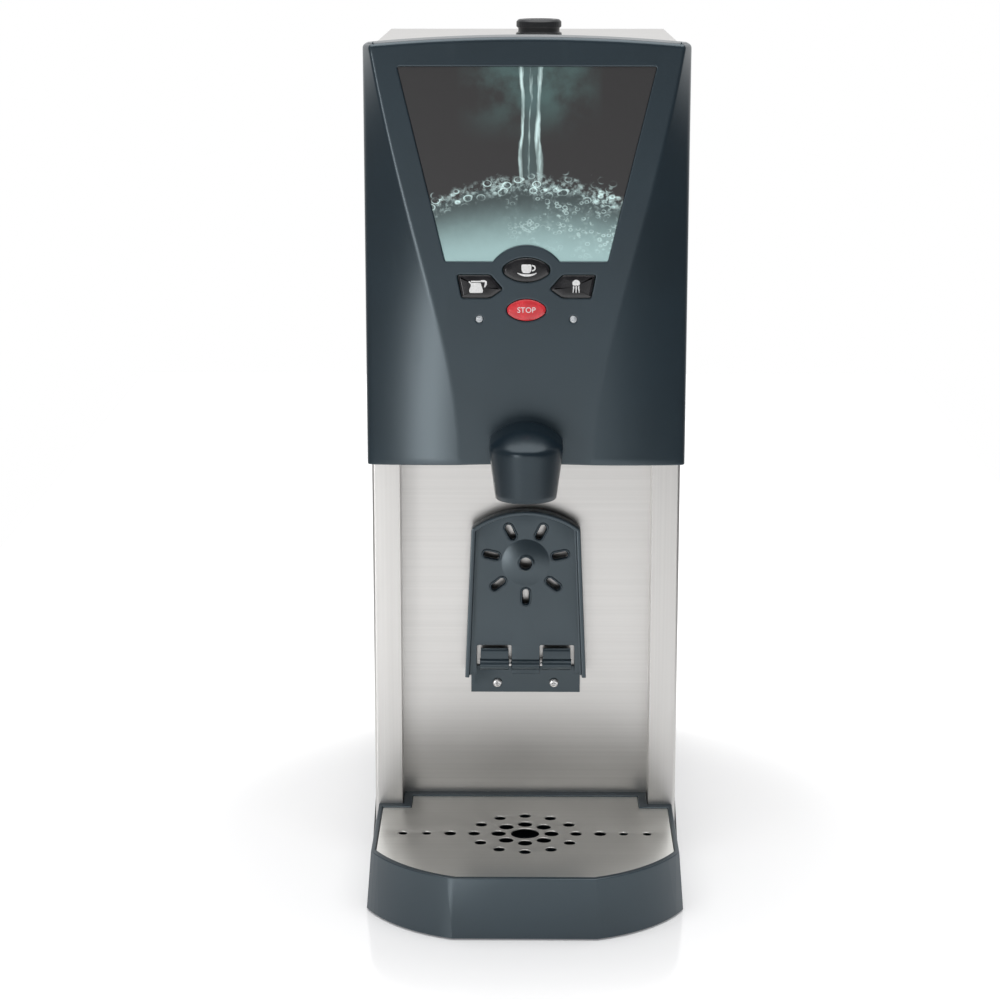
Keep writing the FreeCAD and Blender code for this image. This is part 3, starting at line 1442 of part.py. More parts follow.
# ---------------------------------------------------------------- valves and hose


def middle(pair):
    return (Size.of(pair[0]) + pair[1]) / 2


def valve(label, x, depth, centre_z, bores, extra=()):
    """A solenoid valve: body with its ways and core tube, coil around that tube, plunger inside it."""
    half = 13.0
    core = 6.0
    core_high = 34.0
    plunger = 4.8
    plunger_high = 22.0
    coil = 15.0
    y = middle(depth)
    top = centre_z + half
    seat = centre_z + S.tube_bore + 1
    body = fuse(
        block((x - half, x + half), depth, (centre_z - half, top)),
        rod("z", core, (x, y, top), core_high),
        *extra,
    )
    chamber = rod("z", plunger + FIT, (x, y, seat), core_high + half - 8)
    keep(cut(body, chamber, *bores), label + "_valve")
    keep(ring("z", coil, core + 0.2, (x, y, top), core_high - 4), label + "_coil")
    keep(rod("z", plunger, (x, y, seat), plunger_high), label + "_plunger")


valve(
    "outlet",
    Size.of(0),
    (VALVE_FRONT, VALVE_BACK),
    S.tube_z,
    [rod("y", S.tube_bore, (0, VALVE_FRONT - 1, S.tube_z), VALVE_LONG + 2)],
)

INLET_FRONT = REAR_Y - S.steel - 2 - VALVE_LONG
INLET_BACK = REAR_Y - S.steel - 2
FLANGE_Y = REAR_Y - S.steel
hose_corner_y = HOSE_RISE_Y + S.tube_bend
hose_corner_z = S.inlet_z + S.tube_bend
valve(
    "inlet",
    S.inlet_x,
    (INLET_FRONT, INLET_BACK),
    S.inlet_z,
    [
        rod("y", S.hose_radius - 2, (S.inlet_x, INLET_FRONT - 1, S.inlet_z), VALVE_LONG / 2 + 1),
        rod("y", 7.0, (S.inlet_x, middle((INLET_FRONT, INLET_BACK)), S.inlet_z), REAR_Y),
    ],
    [
        rod("y", INLET_NECK + 4, (S.inlet_x, INLET_BACK, S.inlet_z), 2.0),
        rod("y", INLET_NECK, (S.inlet_x, FLANGE_Y, S.inlet_z), S.steel),
        rod("y", S.inlet_radius, (S.inlet_x, REAR_Y, S.inlet_z), S.inlet_reach),
    ],
)


def hose_way(radius):
    """Forward from the inlet valve, round a bend and up into the tank's floor."""
    return fuse(
        rod("y", radius, (HOSE_X, hose_corner_y, S.inlet_z), INLET_FRONT - hose_corner_y),
        quarter_bend(radius, (HOSE_X, hose_corner_y, hose_corner_z), (0, 0, -1), (0, -1, 0)),
        rod("z", radius, (HOSE_X, HOSE_RISE_Y, hose_corner_z), S.tank_floor_z + 8 - hose_corner_z),
    )


keep(cut(hose_way(S.hose_radius), hose_way(S.hose_radius - 2)), "inlet_hose")

# ---------------------------------------------------------------- power board, gland, switch

POWER_X = (-88.0, 30.0)
POWER_Y = (10.0, 120.0)
POWER_Z = PAN_TOP + S.lip
POST_INSET = 6.0
posts += [
    rod("z", 3.0, (x, y, PAN_TOP), S.lip)
    for x in (POWER_X[0] + POST_INSET, POWER_X[1] - POST_INSET)
    for y in (POWER_Y[0] + POST_INSET, POWER_Y[1] - POST_INSET)
]
keep(bundle(*posts), "board_posts")
RELAYS = [(-70, 30), (-45, 30), (-20, 30)]
parts_z = POWER_Z + BOARD_THICK
relays = [block((x, x + 19.0), (y, y + 15.0), (parts_z, parts_z + 15)) for x, y in RELAYS]
relays.append(block((-75.0, -35.0), (62.0, 96.0), (parts_z, parts_z + 28)))
relays.append(block((-20.0, 20.0), (70.0, 84.0), (parts_z, parts_z + 14)))
keep(fuse(block(POWER_X, POWER_Y, (POWER_Z, POWER_Z + BOARD_THICK)), *relays), "power_board")

GLAND_NUT = GLAND_NECK + 4
gland = cut(
    fuse(
        rod("y", GLAND_NUT, (S.gland_x, FLANGE_Y - 5, S.gland_z), 5.0),
        rod("y", GLAND_NECK, (S.gland_x, FLANGE_Y - 5, S.gland_z), S.steel + 6),
        rod("y", GLAND_NUT, (S.gland_x, REAR_Y, S.gland_z), 6.0),
        rod("y", GLAND_NECK, (S.gland_x, REAR_Y + 6, S.gland_z), 8.0),
    ),
    rod("y", S.gland_bore, (S.gland_x, FLANGE_Y - 6, S.gland_z), 24.0),
)
keep(gland, "mains_gland")

SWITCH_DEEP = 24.0
SWITCH_WALL = 1.5
switch_x = (S.switch_x - SWITCH_HALF - 1, S.switch_x + SWITCH_HALF + 1)
switch_z = (S.switch_z - SWITCH_RISE - 1, S.switch_z + SWITCH_RISE + 1)
ROCKER_Y = REAR_Y - 4
PIVOT_RADIUS = 1.4
switch_shell = cut(
    fuse(
        block(switch_x, (REAR_Y - SWITCH_DEEP, REAR_Y), switch_z),
        block(
            (switch_x[0] - 2, switch_x[1] + 2),
            (REAR_Y, REAR_Y + 1.5),
            (switch_z[0] - 2, switch_z[1] + 2),
        ),
    ),
    block(
        (switch_x[0] + SWITCH_WALL, switch_x[1] - SWITCH_WALL),
        (REAR_Y - 14, REAR_Y + 2),
        (switch_z[0] + SWITCH_WALL, switch_z[1] - SWITCH_WALL),
    ),
    rod("x", PIVOT_RADIUS + FIT, (switch_x[0] - 1, ROCKER_Y, S.switch_z), switch_x[1] - switch_x[0] + 2),
)
keep(switch_shell, "mains_switch")
ROCKER_HALF = SWITCH_HALF + 1 - SWITCH_WALL - 0.3
ROCKER_RISE = SWITCH_RISE + 1 - SWITCH_WALL - 0.6
rocker = new_body("mains_rocker")
side_view = sketch_on(rocker, "yz", S.switch_x - ROCKER_HALF)
outline(
    side_view,
    (ROCKER_Y - 3, S.switch_z - 4),
    (ROCKER_Y + 3, S.switch_z - ROCKER_RISE),
    (ROCKER_Y + 5, S.switch_z - ROCKER_RISE),
    (ROCKER_Y + 4.4, S.switch_z),
    (ROCKER_Y + 7, S.switch_z + ROCKER_RISE - 1.5),
    (ROCKER_Y + 5, S.switch_z + ROCKER_RISE - 0.8),
    (ROCKER_Y - 3, S.switch_z + 4),
)
pad(rocker, side_view, 2 * ROCKER_HALF)
PIVOT_HALF = SWITCH_HALF + 0.7
pivot_end = sketch_on(rocker, "yz", S.switch_x - PIVOT_HALF)
circle(pivot_end, ROCKER_Y, S.switch_z, PIVOT_RADIUS)
pad(rocker, pivot_end, 2 * PIVOT_HALF)

SCREW_PLACES = [(side * SIDE_SCREW_X, REAR_Y, z) for side in (-1, 1) for z in SCREW_ROWS]
SCREW_PLACES += [(side * S.boss_x, BULKHEAD_Y + S.steel, S.boss_z) for side in (-1, 1)]
CASE_SCREWS = [screw("y", place, 1, 3.4, 1.8, BOLT_RADIUS, 7.0) for place in SCREW_PLACES]
keep(bundle(*CASE_SCREWS), "case_screws")

# ---------------------------------------------------------------- check and write

doc.recompute()
for piece in doc.Objects:
    if "Invalid" in piece.State or "Error" in piece.State:
        raise RuntimeError(f"{piece.Label} did not build: {piece.State}")
os.makedirs("parts", exist_ok=True)
for piece in subparts:
    if piece.Shape.isNull() or not piece.Shape.isValid() or not piece.Shape.Solids:
        raise RuntimeError(f"{piece.Label} has no valid solid")
    piece.Shape.exportStep(f"parts/{piece.Label}.step")
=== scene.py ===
import math

import bmesh
import bpy
import numpy as np
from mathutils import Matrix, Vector
from mathutils.geometry import delaunay_2d_cdt


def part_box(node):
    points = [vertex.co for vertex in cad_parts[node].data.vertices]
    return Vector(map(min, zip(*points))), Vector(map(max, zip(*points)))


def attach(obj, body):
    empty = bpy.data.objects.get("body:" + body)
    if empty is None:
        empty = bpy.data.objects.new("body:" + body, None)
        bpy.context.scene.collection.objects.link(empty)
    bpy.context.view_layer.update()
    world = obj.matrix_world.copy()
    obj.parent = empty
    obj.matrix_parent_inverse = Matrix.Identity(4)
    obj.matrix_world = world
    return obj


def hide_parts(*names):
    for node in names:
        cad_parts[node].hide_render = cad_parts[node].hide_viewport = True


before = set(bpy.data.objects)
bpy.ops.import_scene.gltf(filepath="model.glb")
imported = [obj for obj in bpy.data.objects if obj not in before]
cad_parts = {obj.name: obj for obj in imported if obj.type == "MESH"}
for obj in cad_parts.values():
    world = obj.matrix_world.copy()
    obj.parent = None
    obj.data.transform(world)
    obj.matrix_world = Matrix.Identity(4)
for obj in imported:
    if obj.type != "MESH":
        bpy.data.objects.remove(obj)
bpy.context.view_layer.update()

# ======================================
# The folded cabinet. Left side, right side, lid, niche back and rear wall are sheets of brushed
# stainless steel, folded with small bends and screwed together at the back.
# ======================================

MM = 0.001


def box_mm(node):
    """Lowest and highest corner of a designed part, in millimetres."""
    low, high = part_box(node)
    return np.array(low) / MM, np.array(high) / MM


class Value:
    """A shader socket that can stand in a sum, a product or a quotient."""

    def __init__(self, finish, socket):
        self.finish = finish
        self.socket = socket

    def math(self, operation, first, second=0.0):
        return self.finish.add("ShaderNodeMath", {"operation": operation}, {0: first, 1: second})

    def __add__(self, other):
        return self.math("ADD", self, other)

    def __radd__(self, other):
        return self.math("ADD", other, self)

    def __sub__(self, other):
        return self.math("SUBTRACT", self, other)

    def __rsub__(self, other):
        return self.math("SUBTRACT", other, self)

    def __mul__(self, other):
        return self.math("MULTIPLY", self, other)

    def __rmul__(self, other):
        return self.math("MULTIPLY", other, self)

    def __truediv__(self, other):
        return self.math("DIVIDE", self, other)

    def clamp(self):
        """The value held between 0 and 1."""
        return self.math("MINIMUM", self.math("MAXIMUM", self, 0.0), 1.0)

    def step(self, low, high):
        """0 below low, 1 above high, and an S-shaped rise between them."""
        settings = {"interpolation_type": "SMOOTHSTEP"}
        return self.finish.add("ShaderNodeMapRange", settings, {0: self, 1: low, 2: high, 3: 0.0, 4: 1.0})


class Finish:
    """A material with one Principled shader, built from values."""

    def __init__(self, name, **constants):
        self.material = bpy.data.materials.new(name)
        self.material.use_nodes = True
        self.tree = self.material.node_tree
        self.tree.nodes.clear()
        self.shader = self.tree.nodes.new("ShaderNodeBsdfPrincipled")
        out = self.tree.nodes.new("ShaderNodeOutputMaterial")
        self.tree.links.new(self.shader.outputs[0], out.inputs[0])
        self.place = self.add("ShaderNodeTexCoord", output="Object")
        for key, value in constants.items():
            self.shader.inputs[key.replace("_", " ")].default_value = value

    def add(self, kind, settings=(), inputs=(), output=0):
        """One node: its settings first, then the values or links of its sockets."""
        node = self.tree.nodes.new(kind)
        for key, value in dict(settings).items():
            setattr(node, key, value)
        for key, value in dict(inputs).items():
            self.feed(node.inputs[key], value)
        return Value(self, node.outputs[output])

    def feed(self, socket, value):
        if isinstance(value, Value):
            self.tree.links.new(value.socket, socket)
        else:
            socket.default_value = value

    def use(self, **sockets):
        """Feeds the shader's sockets, with _ for a space in their names."""
        for key, value in sockets.items():
            self.feed(self.shader.inputs[key.replace("_", " ")], value)
        return self.material

    def noise(self, size, detail=2.0, stretch=(1, 1, 1), rough=0.5, shift=(0, 0, 0)):
        """Soft noise from 0 to 1 whose blobs are about size millimetres across, stretched per axis."""
        scale = tuple(1 / s for s in stretch)
        spot = self.add("ShaderNodeMapping", {}, {"Vector": self.place, "Scale": scale, "Location": shift})
        inputs = {"Vector": spot, "Scale": 1 / (size * MM), "Detail": detail, "Roughness": rough}
        return self.add("ShaderNodeTexNoise", {}, inputs)

    def axis(self, name):
        """One coordinate of the object's own space, in millimetres."""
        parts = self.add("ShaderNodeSeparateXYZ", {}, {0: self.place}, output=name)
        return parts * (1 / MM)

    def blend(self, factor, first, second, way="MIX"):
        """A colour mixed from two colours."""
        settings = {"data_type": "RGBA", "blend_type": way, "clamp_factor": True}
        pick = lambda c: (*c, 1.0) if isinstance(c, tuple) and len(c) == 3 else c
        return self.add("ShaderNodeMix", settings, {0: factor, 6: pick(first), 7: pick(second)}, output=2)

    def bump(self, height, depth, strength=1.0):
        """A normal from a height of 0 to 1 that is worth depth millimetres."""
        inputs = {"Height": height, "Distance": depth * MM, "Strength": strength}
        return self.add("ShaderNodeBump", {}, inputs)


def brushed_steel(name, tone, along, rough=0.3):
    """Steel with fine grinding lines along one axis and faint cloudy stains."""
    finish = Finish(name, Metallic=1.0)
    lines = [14.0 if axis == along else 0.02 for axis in "xyz"]
    fine = finish.noise(5.0, 3.0, stretch=lines)
    broad = finish.noise(5.0, 2.0, stretch=[60.0 if axis == along else 0.35 for axis in "xyz"])
    cloud = finish.noise(70.0, 2.0)
    shade = 0.9 + 0.12 * broad + 0.06 * (cloud - 0.5)
    light = tuple(min(c * 1.05, 1.0) for c in tone)
    dark = tuple(c * 0.9 for c in tone)
    return finish.use(
        Base_Color=finish.blend(shade.step(0.86, 1.06), dark, light),
        Roughness=rough + 0.12 * fine + 0.08 * (cloud - 0.5),
        Normal=finish.bump(fine, 0.009, 0.5),
    )


def wear(material, *nodes):
    """Puts a material on designed parts that are shown as they are."""
    for node in nodes:
        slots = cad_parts[node].data.materials
        slots.clear()
        slots.append(material)


def settle(mesh, sharp):
    """Smooth shading with creases where faces meet at more than sharp degrees."""
    mesh.shade_smooth()
    mesh.set_sharp_from_angle(angle=math.radians(sharp))
    mesh.update()


def fit_out(piece, body, material, nodes):
    """Gives a new piece its material, hides the designed parts it stands for and hangs it on its body."""
    piece.data.materials.clear()
    piece.data.materials.append(material)
    if piece.name not in bpy.context.scene.collection.objects:
        bpy.context.scene.collection.objects.link(piece)
    if nodes:
        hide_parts(*nodes)
    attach(piece, body)
    return piece


def softened(node, edge, body, material, steps=2):
    """A merged copy of a designed part with its sharp edges rounded to edge millimetres."""
    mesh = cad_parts[node].data.copy()
    work = bmesh.new()
    work.from_mesh(mesh)
    bmesh.ops.remove_doubles(work, verts=work.verts, dist=2e-6)
    bmesh.ops.dissolve_limit(work, angle_limit=math.radians(0.5), verts=work.verts, edges=work.edges)
    work.to_mesh(mesh)
    work.free()
    settle(mesh, 30)
    piece = bpy.data.objects.new(node + "_worked", mesh)
    bevel = piece.modifiers.new("edges", "BEVEL")
    bevel.width = edge * MM
    bevel.segments = steps
    bevel.limit_method = "ANGLE"
    bevel.angle_limit = math.radians(35)
    bevel.use_clamp_overlap = True
    bevel.harden_normals = True
    return fit_out(piece, body, material, [node])


STEEL = (0.64, 0.63, 0.617)
side_steel = brushed_steel("side_steel", STEEL, "z")
niche_steel = brushed_steel("niche_steel", STEEL, "x", rough=0.26)
top_steel = brushed_steel("top_steel", STEEL, "x")
SHEET_SLOT = "brushed_steel_sheet"
for node, steel in (
    ("left_side_panel", side_steel),
    ("right_side_panel", side_steel),
    ("rear_panel", side_steel),
    ("top_cover", top_steel),
):
    softened(node, 0.35, "housing", steel)

wear(niche_steel, "splash_panel")

# The inner sheets are zinc-plated: floor pan, bulkhead and tank shelf, with a faint spangle.
zinc = Finish("zinc_sheet", Metallic=1.0)
spangle = zinc.add("ShaderNodeTexVoronoi", {}, {"Vector": zinc.place, "Scale": 120.0}, output="Color")
zinc_tone = zinc.blend(0.35, (0.45, 0.47, 0.5), spangle, "SOFT_LIGHT")
zinc.use(Base_Color=zinc_tone, Roughness=0.42 + 0.15 * zinc.noise(20.0))
wear(zinc.material, "base_pan", "front_bulkhead", "tank_shelf")

# ======================================
# Skirts and feet. Two black plastic strips clip to the cabinet's foot; four rubber feet carry it.
# ======================================


def moulded(name, tone, rough, texture=0.35, depth=0.02):
    """Moulded plastic with a fine spark-eroded texture and slight clouding of its colour."""
    finish = Finish(name)
    pits = finish.noise(texture, 2.0)
    cloud = finish.noise(60.0, 2.0)
    light = tuple(c * 1.12 for c in tone)
    dark = tuple(c * 0.9 for c in tone)
    return finish.use(
        Base_Color=finish.blend(cloud.step(0.35, 0.65), dark, light),
        Roughness=rough + 0.1 * (pits - 0.5) + 0.06 * (cloud - 0.5),
        Normal=finish.bump(pits, depth, 0.6),
    )


black_plastic = moulded("black_plastic", (0.018, 0.02, 0.023), 0.38)
for node in ("left_skirt", "right_skirt"):
    softened(node, 0.7, "housing", black_plastic, steps=3)


class Skin:
    """Collects the surfaces of one piece, in millimetres, and welds them where they meet."""

    def __init__(self):
        self.points = []
        self.corners = []
        self.sides = []
        self.count = 0

    def add(self, points, faces):
        """Points as an (n, 3) array and faces as an (m, 3) or (m, 4) array of their numbers."""
        self.points.append(points)
        self.corners.append((faces + self.count).ravel())
        self.sides.append(np.full(len(faces), faces.shape[1]))
        self.count += len(points)

    def grid(self, net, round_rows=False, round_columns=False):
        """A net of points (rows, columns, 3) as quads; a rounded direction joins its end to its start."""
        rows, columns = net.shape[:2]
        number = np.arange(rows * columns).reshape(rows, columns)
        if round_rows:
            number = np.concatenate([number, number[:1]], axis=0)
        if round_columns:
            number = np.concatenate([number, number[:, :1]], axis=1)
        quads = np.stack([number[:-1, :-1], number[:-1, 1:], number[1:, 1:], number[1:, :-1]], axis=-1)
        self.add(net.reshape(-1, 3), quads.reshape(-1, 4))

    def mesh(self, name, sharp=35.0):
        """The welded mesh, faces outward, in metres."""
        mesh = bpy.data.meshes.new(name)
        points = np.concatenate(self.points) * MM
        corners = np.concatenate(self.corners)
        sides = np.concatenate(self.sides)
        mesh.vertices.add(len(points))
        mesh.vertices.foreach_set("co", points.ravel())
        mesh.loops.add(len(corners))
        mesh.loops.foreach_set("vertex_index", corners.astype(np.int32))
        mesh.polygons.add(len(sides))
        starts = np.concatenate([[0], np.cumsum(sides)[:-1]])
        mesh.polygons.foreach_set("loop_start", starts.astype(np.int32))
        mesh.update(calc_edges=True)
        work = bmesh.new()
        work.from_mesh(mesh)
        bmesh.ops.remove_doubles(work, verts=work.verts, dist=4e-6)
        bmesh.ops.dissolve_degenerate(work, edges=work.edges, dist=2e-6)
        bmesh.ops.recalc_face_normals(work, faces=work.faces)
        work.to_mesh(mesh)
        work.free()
        settle(mesh, sharp)
        return mesh

    def piece(self, name, body, slot, material, nodes=(), sharp=35.0):
        """The finished object at the origin."""
        made = bpy.data.objects.new(name, self.mesh(name, sharp))
        return fit_out(made, body, material, nodes)


def turned(profile, centre, axis="z", steps=64, radius_at=None):
    """A profile of (radius, height) turned about an axis: x = r cos a, y = r sin a, z = height.
    radius_at(a, radius, height) may change the radius around the turn."""
    angle = np.linspace(0, 2 * np.pi, steps, endpoint=False)[None, :]
    radius = np.array([p[0] for p in profile], float)[:, None] + 0 * angle
    height = np.array([p[1] for p in profile], float)[:, None] + 0 * angle
    if radius_at is not None:
        radius = radius_at(angle + 0 * radius, radius, height)
    around = {"z": (0, 1, 2), "y": (0, 2, 1), "x": (1, 2, 0)}[axis]
    net = np.zeros(radius.shape + (3,))
    for place, values in zip(around, (radius * np.cos(angle), radius * np.sin(angle), height)):
        net[..., place] = values
    return net + np.array(centre, float)


def rounded_profile(points, radius, steps=4):
    """A (radius, height) outline whose corners, but not its ends, are eased by a parabola."""
    points = [np.array(p, float) for p in points]
    out = [points[0]]
    for before, here, after in zip(points[:-2], points[1:-1], points[2:]):
        into, away = before - here, after - here
        ease = min(radius, 0.45 * np.linalg.norm(into), 0.45 * np.linalg.norm(away))
        start = here + into / np.linalg.norm(into) * ease
        end = here + away / np.linalg.norm(away) * ease
        for t in np.linspace(0, 1, steps + 1):
            out.append((1 - t) ** 2 * start + 2 * t * (1 - t) * here + t * t * end)
    return out + [points[-1]]


rubber = moulded("foot_rubber", (0.012, 0.012, 0.013), 0.75, texture=0.8)
for place in ("front_left", "front_right", "rear_left", "rear_right"):
    low, high = box_mm("foot_" + place)
    middle = (low + high) / 2
    outer = (high[0] - low[0]) / 2
    tall = high[2] - low[2]
    side = [(0, 0), (outer * 0.45, 0), (outer * 0.5, 0.8), (outer * 0.6, 0.8), (outer * 0.65, 0)]
    side += [(outer - 1, 0), (outer, 1.2), (outer - 1, tall), (0, tall)]
    foot = Skin()
    foot.grid(turned(rounded_profile(side, 0.6), (middle[0], middle[1], low[2])), round_columns=True)
    foot.piece("rubber_foot_" + place, "housing", "foot_rubber", rubber, ["foot_" + place])

# ======================================
# The front cover. One moulding in dark blue-grey: a flat shield that widens upward, a curved wing on
# either side of it, and rolled edges. It hooks over the lid and is screwed on from inside.
# ======================================

COVER_LOW, COVER_HIGH = box_mm("front_cover")
COVER_HALF = COVER_HIGH[0]
SHIELD_Y = COVER_LOW[1]
WING_END_Y = SHIELD_Y + 19.0
COVER_BACK = SHIELD_Y + 36.2
WING_RADIUS = 220.0
# Heights, and the shield's half width at each.
CREASE = np.array([(314, 49.5), (386, 55.6), (450, 71.0), (527, 91.6), (625, 112.5)])
CREASE_CURVE = np.polynomial.Polynomial.fit(CREASE[:, 0], CREASE[:, 1], 4)
TOP_ROUND = 3.0
FOOT_ROUND = 0.9
COVER_WALL = 2.2
HEAD_RISE, FOOT_RISE = 5.5, 4.5
# How far the easing of the crease and of the side edge reaches.
CREASE_EASE, SIDE_EASE = 1.8, 4.0


def arch_drop(x, half, rise):
    """How far a circular arch of that rise over +-half has fallen at x."""
    radius = (half * half + rise * rise) / (2 * rise)
    return radius - np.sqrt(radius * radius - x * x)


def cover_head(x):
    return COVER_HIGH[2] - arch_drop(x, COVER_HALF, HEAD_RISE)


def cover_foot(x):
    return COVER_LOW[2] + FOOT_RISE - arch_drop(x, COVER_HALF, FOOT_RISE)


def bend(first, corner, last, steps):
    """Points on the parabola that leaves first towards corner and arrives at last from it."""
    t = np.linspace(0, 1, steps + 1)[:, None, None]
    return (1 - t) ** 2 * first + 2 * t * (1 - t) * corner + t * t * last


def cover_net(rise):
    """The right-hand side of the cover for heights given as fractions from foot to head. Each level
    cut runs from the shield's edge round the crease, along an arc of WING_RADIUS, round the side
    edge and straight back; its height at x lies between the foot arch and the head arch."""
    crease = np.full(len(rise), 80.0)
    for _ in range(12):
        foot, head = cover_foot(crease) + FOOT_ROUND, cover_head(crease) - TOP_ROUND
        crease = CREASE_CURVE(foot + rise * (head - foot))
    start = np.stack([crease, np.full_like(crease, SHIELD_Y)], axis=1)
    end = np.array([COVER_HALF, WING_END_Y])
    chord = end - start
    long = np.linalg.norm(chord, axis=1, keepdims=True)
    chord = chord / long
    out = np.stack([chord[:, 1], -chord[:, 0]], axis=1)
    half_turn = np.arcsin(long / 2 / WING_RADIUS)
    first, last = CREASE_EASE / long, 1 - SIDE_EASE / long
    t = np.linspace(0, 1, 25)[:, None, None]
    turn = half_turn * (2 * (first + t * (last - first)) - 1)
    middle = (start + end) / 2
    wing = middle + WING_RADIUS * (chord * np.sin(turn) + out * (np.cos(turn) - np.cos(half_turn)))
    crease_edge = bend(start - [CREASE_EASE, 0], start, wing[0], 5)
    side_start = np.broadcast_to(end + [0, SIDE_EASE], start.shape)
    side_edge = bend(wing[-1], np.broadcast_to(end, start.shape), side_start, 6)
    straight = COVER_BACK - WING_END_Y - SIDE_EASE
    side = [side_start + [0, step] for step in np.linspace(0, straight, 4)[1:]]
    plan = np.concatenate([crease_edge, wing[1:], side_edge[1:], np.array(side)]).transpose(1, 0, 2)
    foot, head = cover_foot(plan[..., 0]) + FOOT_ROUND, cover_head(plan[..., 0]) - TOP_ROUND
    height = foot + np.array(rise)[:, None] * (head - foot)
    return np.concatenate([plan, height[..., None]], axis=2)


def outline(*steps, pitch=1.0):
    """A closed anticlockwise line of points. A number between two points is the radius of an arc
    between them, positive where it bulges outward; other points are joined straight."""
    places = [i for i, step in enumerate(steps) if isinstance(step, tuple)]
    line = []
    for here, place in enumerate(places):
        start = np.array(steps[place], float)
        end = np.array(steps[places[(here + 1) % len(places)]], float)
        chord = end - start
        long = np.linalg.norm(chord)
        radius = steps[(place + 1) % len(steps)]
        if isinstance(radius, tuple):
            count = max(int(long / pitch / 2), 1)
            line += [start + chord * t for t in np.arange(count) / count]
            continue
        side = math.copysign(1.0, radius)
        radius = abs(radius)
        normal = np.array([-chord[1], chord[0]]) / long * side
        centre = (start + end) / 2 + normal * math.sqrt(max(radius**2 - long**2 / 4, 0))
        swing = 2 * math.asin(min(long / 2 / radius, 1.0)) * side
        count = max(int(radius * abs(swing) / pitch), 6)
        angle = math.atan2(*(start - centre)[::-1]) + swing * np.arange(count) / count
        line += list(centre + radius * np.stack([np.cos(angle), np.sin(angle)], axis=1))
    return np.array(line)


def left_of(line):
    """Unit normals along an open line, to the left of its direction."""
    ahead = np.gradient(line, axis=0)
    ahead /= np.linalg.norm(ahead, axis=1, keepdims=True)
    return np.stack([-ahead[:, 1], ahead[:, 0]], axis=1)


def grown(line, by):
    """A closed anticlockwise line moved outward: each point along the mitre of its two sides."""
    ahead = np.roll(line, -1, axis=0) - line
    ahead /= np.linalg.norm(ahead, axis=1, keepdims=True)
    normal = np.stack([ahead[:, 1], -ahead[:, 0]], axis=1)
    before = np.roll(normal, 1, axis=0)
    mitre = normal + before
    return line + by * mitre / np.maximum((mitre * normal).sum(axis=1, keepdims=True), 0.5)


def filled(*lines):
    """Points and triangles of the area inside the first closed line and outside the others."""
    points = np.concatenate(lines)
    edges, start = [], 0
    for line in lines:
        edges += [(start + i, start + (i + 1) % len(line)) for i in range(len(line))]
        start += len(line)
    made = delaunay_2d_cdt([Vector(p) for p in points], edges, [], 0, 1e-7)
    corners = np.array([tuple(p) for p in made[0]])
    faces = np.array(made[2])
    x, y = corners[faces].mean(axis=1).T
    inside = np.zeros(len(faces), bool)
    for line in lines:
        ax, ay = line.T
        bx, by = np.roll(line, -1, axis=0).T
        spans = (ay[None] > y[:, None]) != (by[None] > y[:, None])
        lean = np.where(by == ay, 1.0, by - ay)
        crosses = x[:, None] < (bx - ax) * (y[:, None] - ay) / lean + ax
        inside ^= (spans & crosses).sum(axis=1) % 2 == 1
    return corners, faces[inside]


def upright(points, depth):
    """Points of a vertical plane, (x, z), at a depth y."""
    return np.stack([points[..., 0], np.full(points.shape[:-1], depth), points[..., 1]], axis=-1)


def oval(x, z, half, rise, tip):
    """A pointed oval: two flat arcs that run into two tight ones of radius tip."""
    flat = (half * half + rise * rise - 2 * half * tip) / (2 * (rise - tip))
    reach = flat - tip
    dx = half - tip + tip * (half - tip) / reach
    dz = tip * (flat - rise) / reach
    steps = [(x + dx, z - dz), tip, (x + dx, z + dz), flat, (x - dx, z + dz), tip, (x - dx, z - dz), flat]
    return outline(*steps, pitch=0.6)


def eased(line, radius, steps=4):
    """A closed line of points whose corners of over 20 degrees are rounded by parabolas."""
    before, after = np.roll(line, 1, axis=0) - line, np.roll(line, -1, axis=0) - line
    near, far = [np.linalg.norm(side, axis=1, keepdims=True) for side in (before, after)]
    into, away = before / near, after / far
    turned_by = np.degrees(np.arccos(np.clip(-(into * away).sum(axis=1), -1, 1)))
    sharp = turned_by >= 20
    reach = np.minimum(radius, 0.45 * np.minimum(near, far))
    curve = bend(line + into * reach, line, line + away * reach, steps)
    curve = np.where(sharp[None, :, None], curve, line).transpose(1, 0, 2)
    return curve[sharp[:, None] | (np.arange(steps + 1) == 0)]


def mirrored(steps):
    """The steps of an outline on the other side of x = 0, in the order that keeps it anticlockwise."""
    return [(-step[0], step[1]) if isinstance(step, tuple) else step for step in reversed(steps)]


# The flat bar with a point beside the middle key.
SIDE_KEY = [(26.0, 440.8), (46.2, 440.8), (49.5, 457.0), (26.0, 457.0), (17.2, 447.0)]
KEY_LINES = {
    "cup_key": oval(0.0, 460.8, 16.7, 8.6, 4.6),
    "stop_key": oval(0.0, 431.8, 13.9, 7.7, 4.4),
    "tap_key": eased(np.array(SIDE_KEY), 1.6),
    "jug_key": eased(np.array(mirrored(SIDE_KEY)), 1.6),
}
LAMP_X, LAMP_Z, LAMP_RADIUS = 33.8, 425.2, 2.6
TUBE_Z, TUBE_HOLE = 329.0, 7.0
KEY_GAP = 0.35


def disc_line(x, z, radius):
    return outline((x + radius, z), radius, (x - radius, z), radius, pitch=0.5)


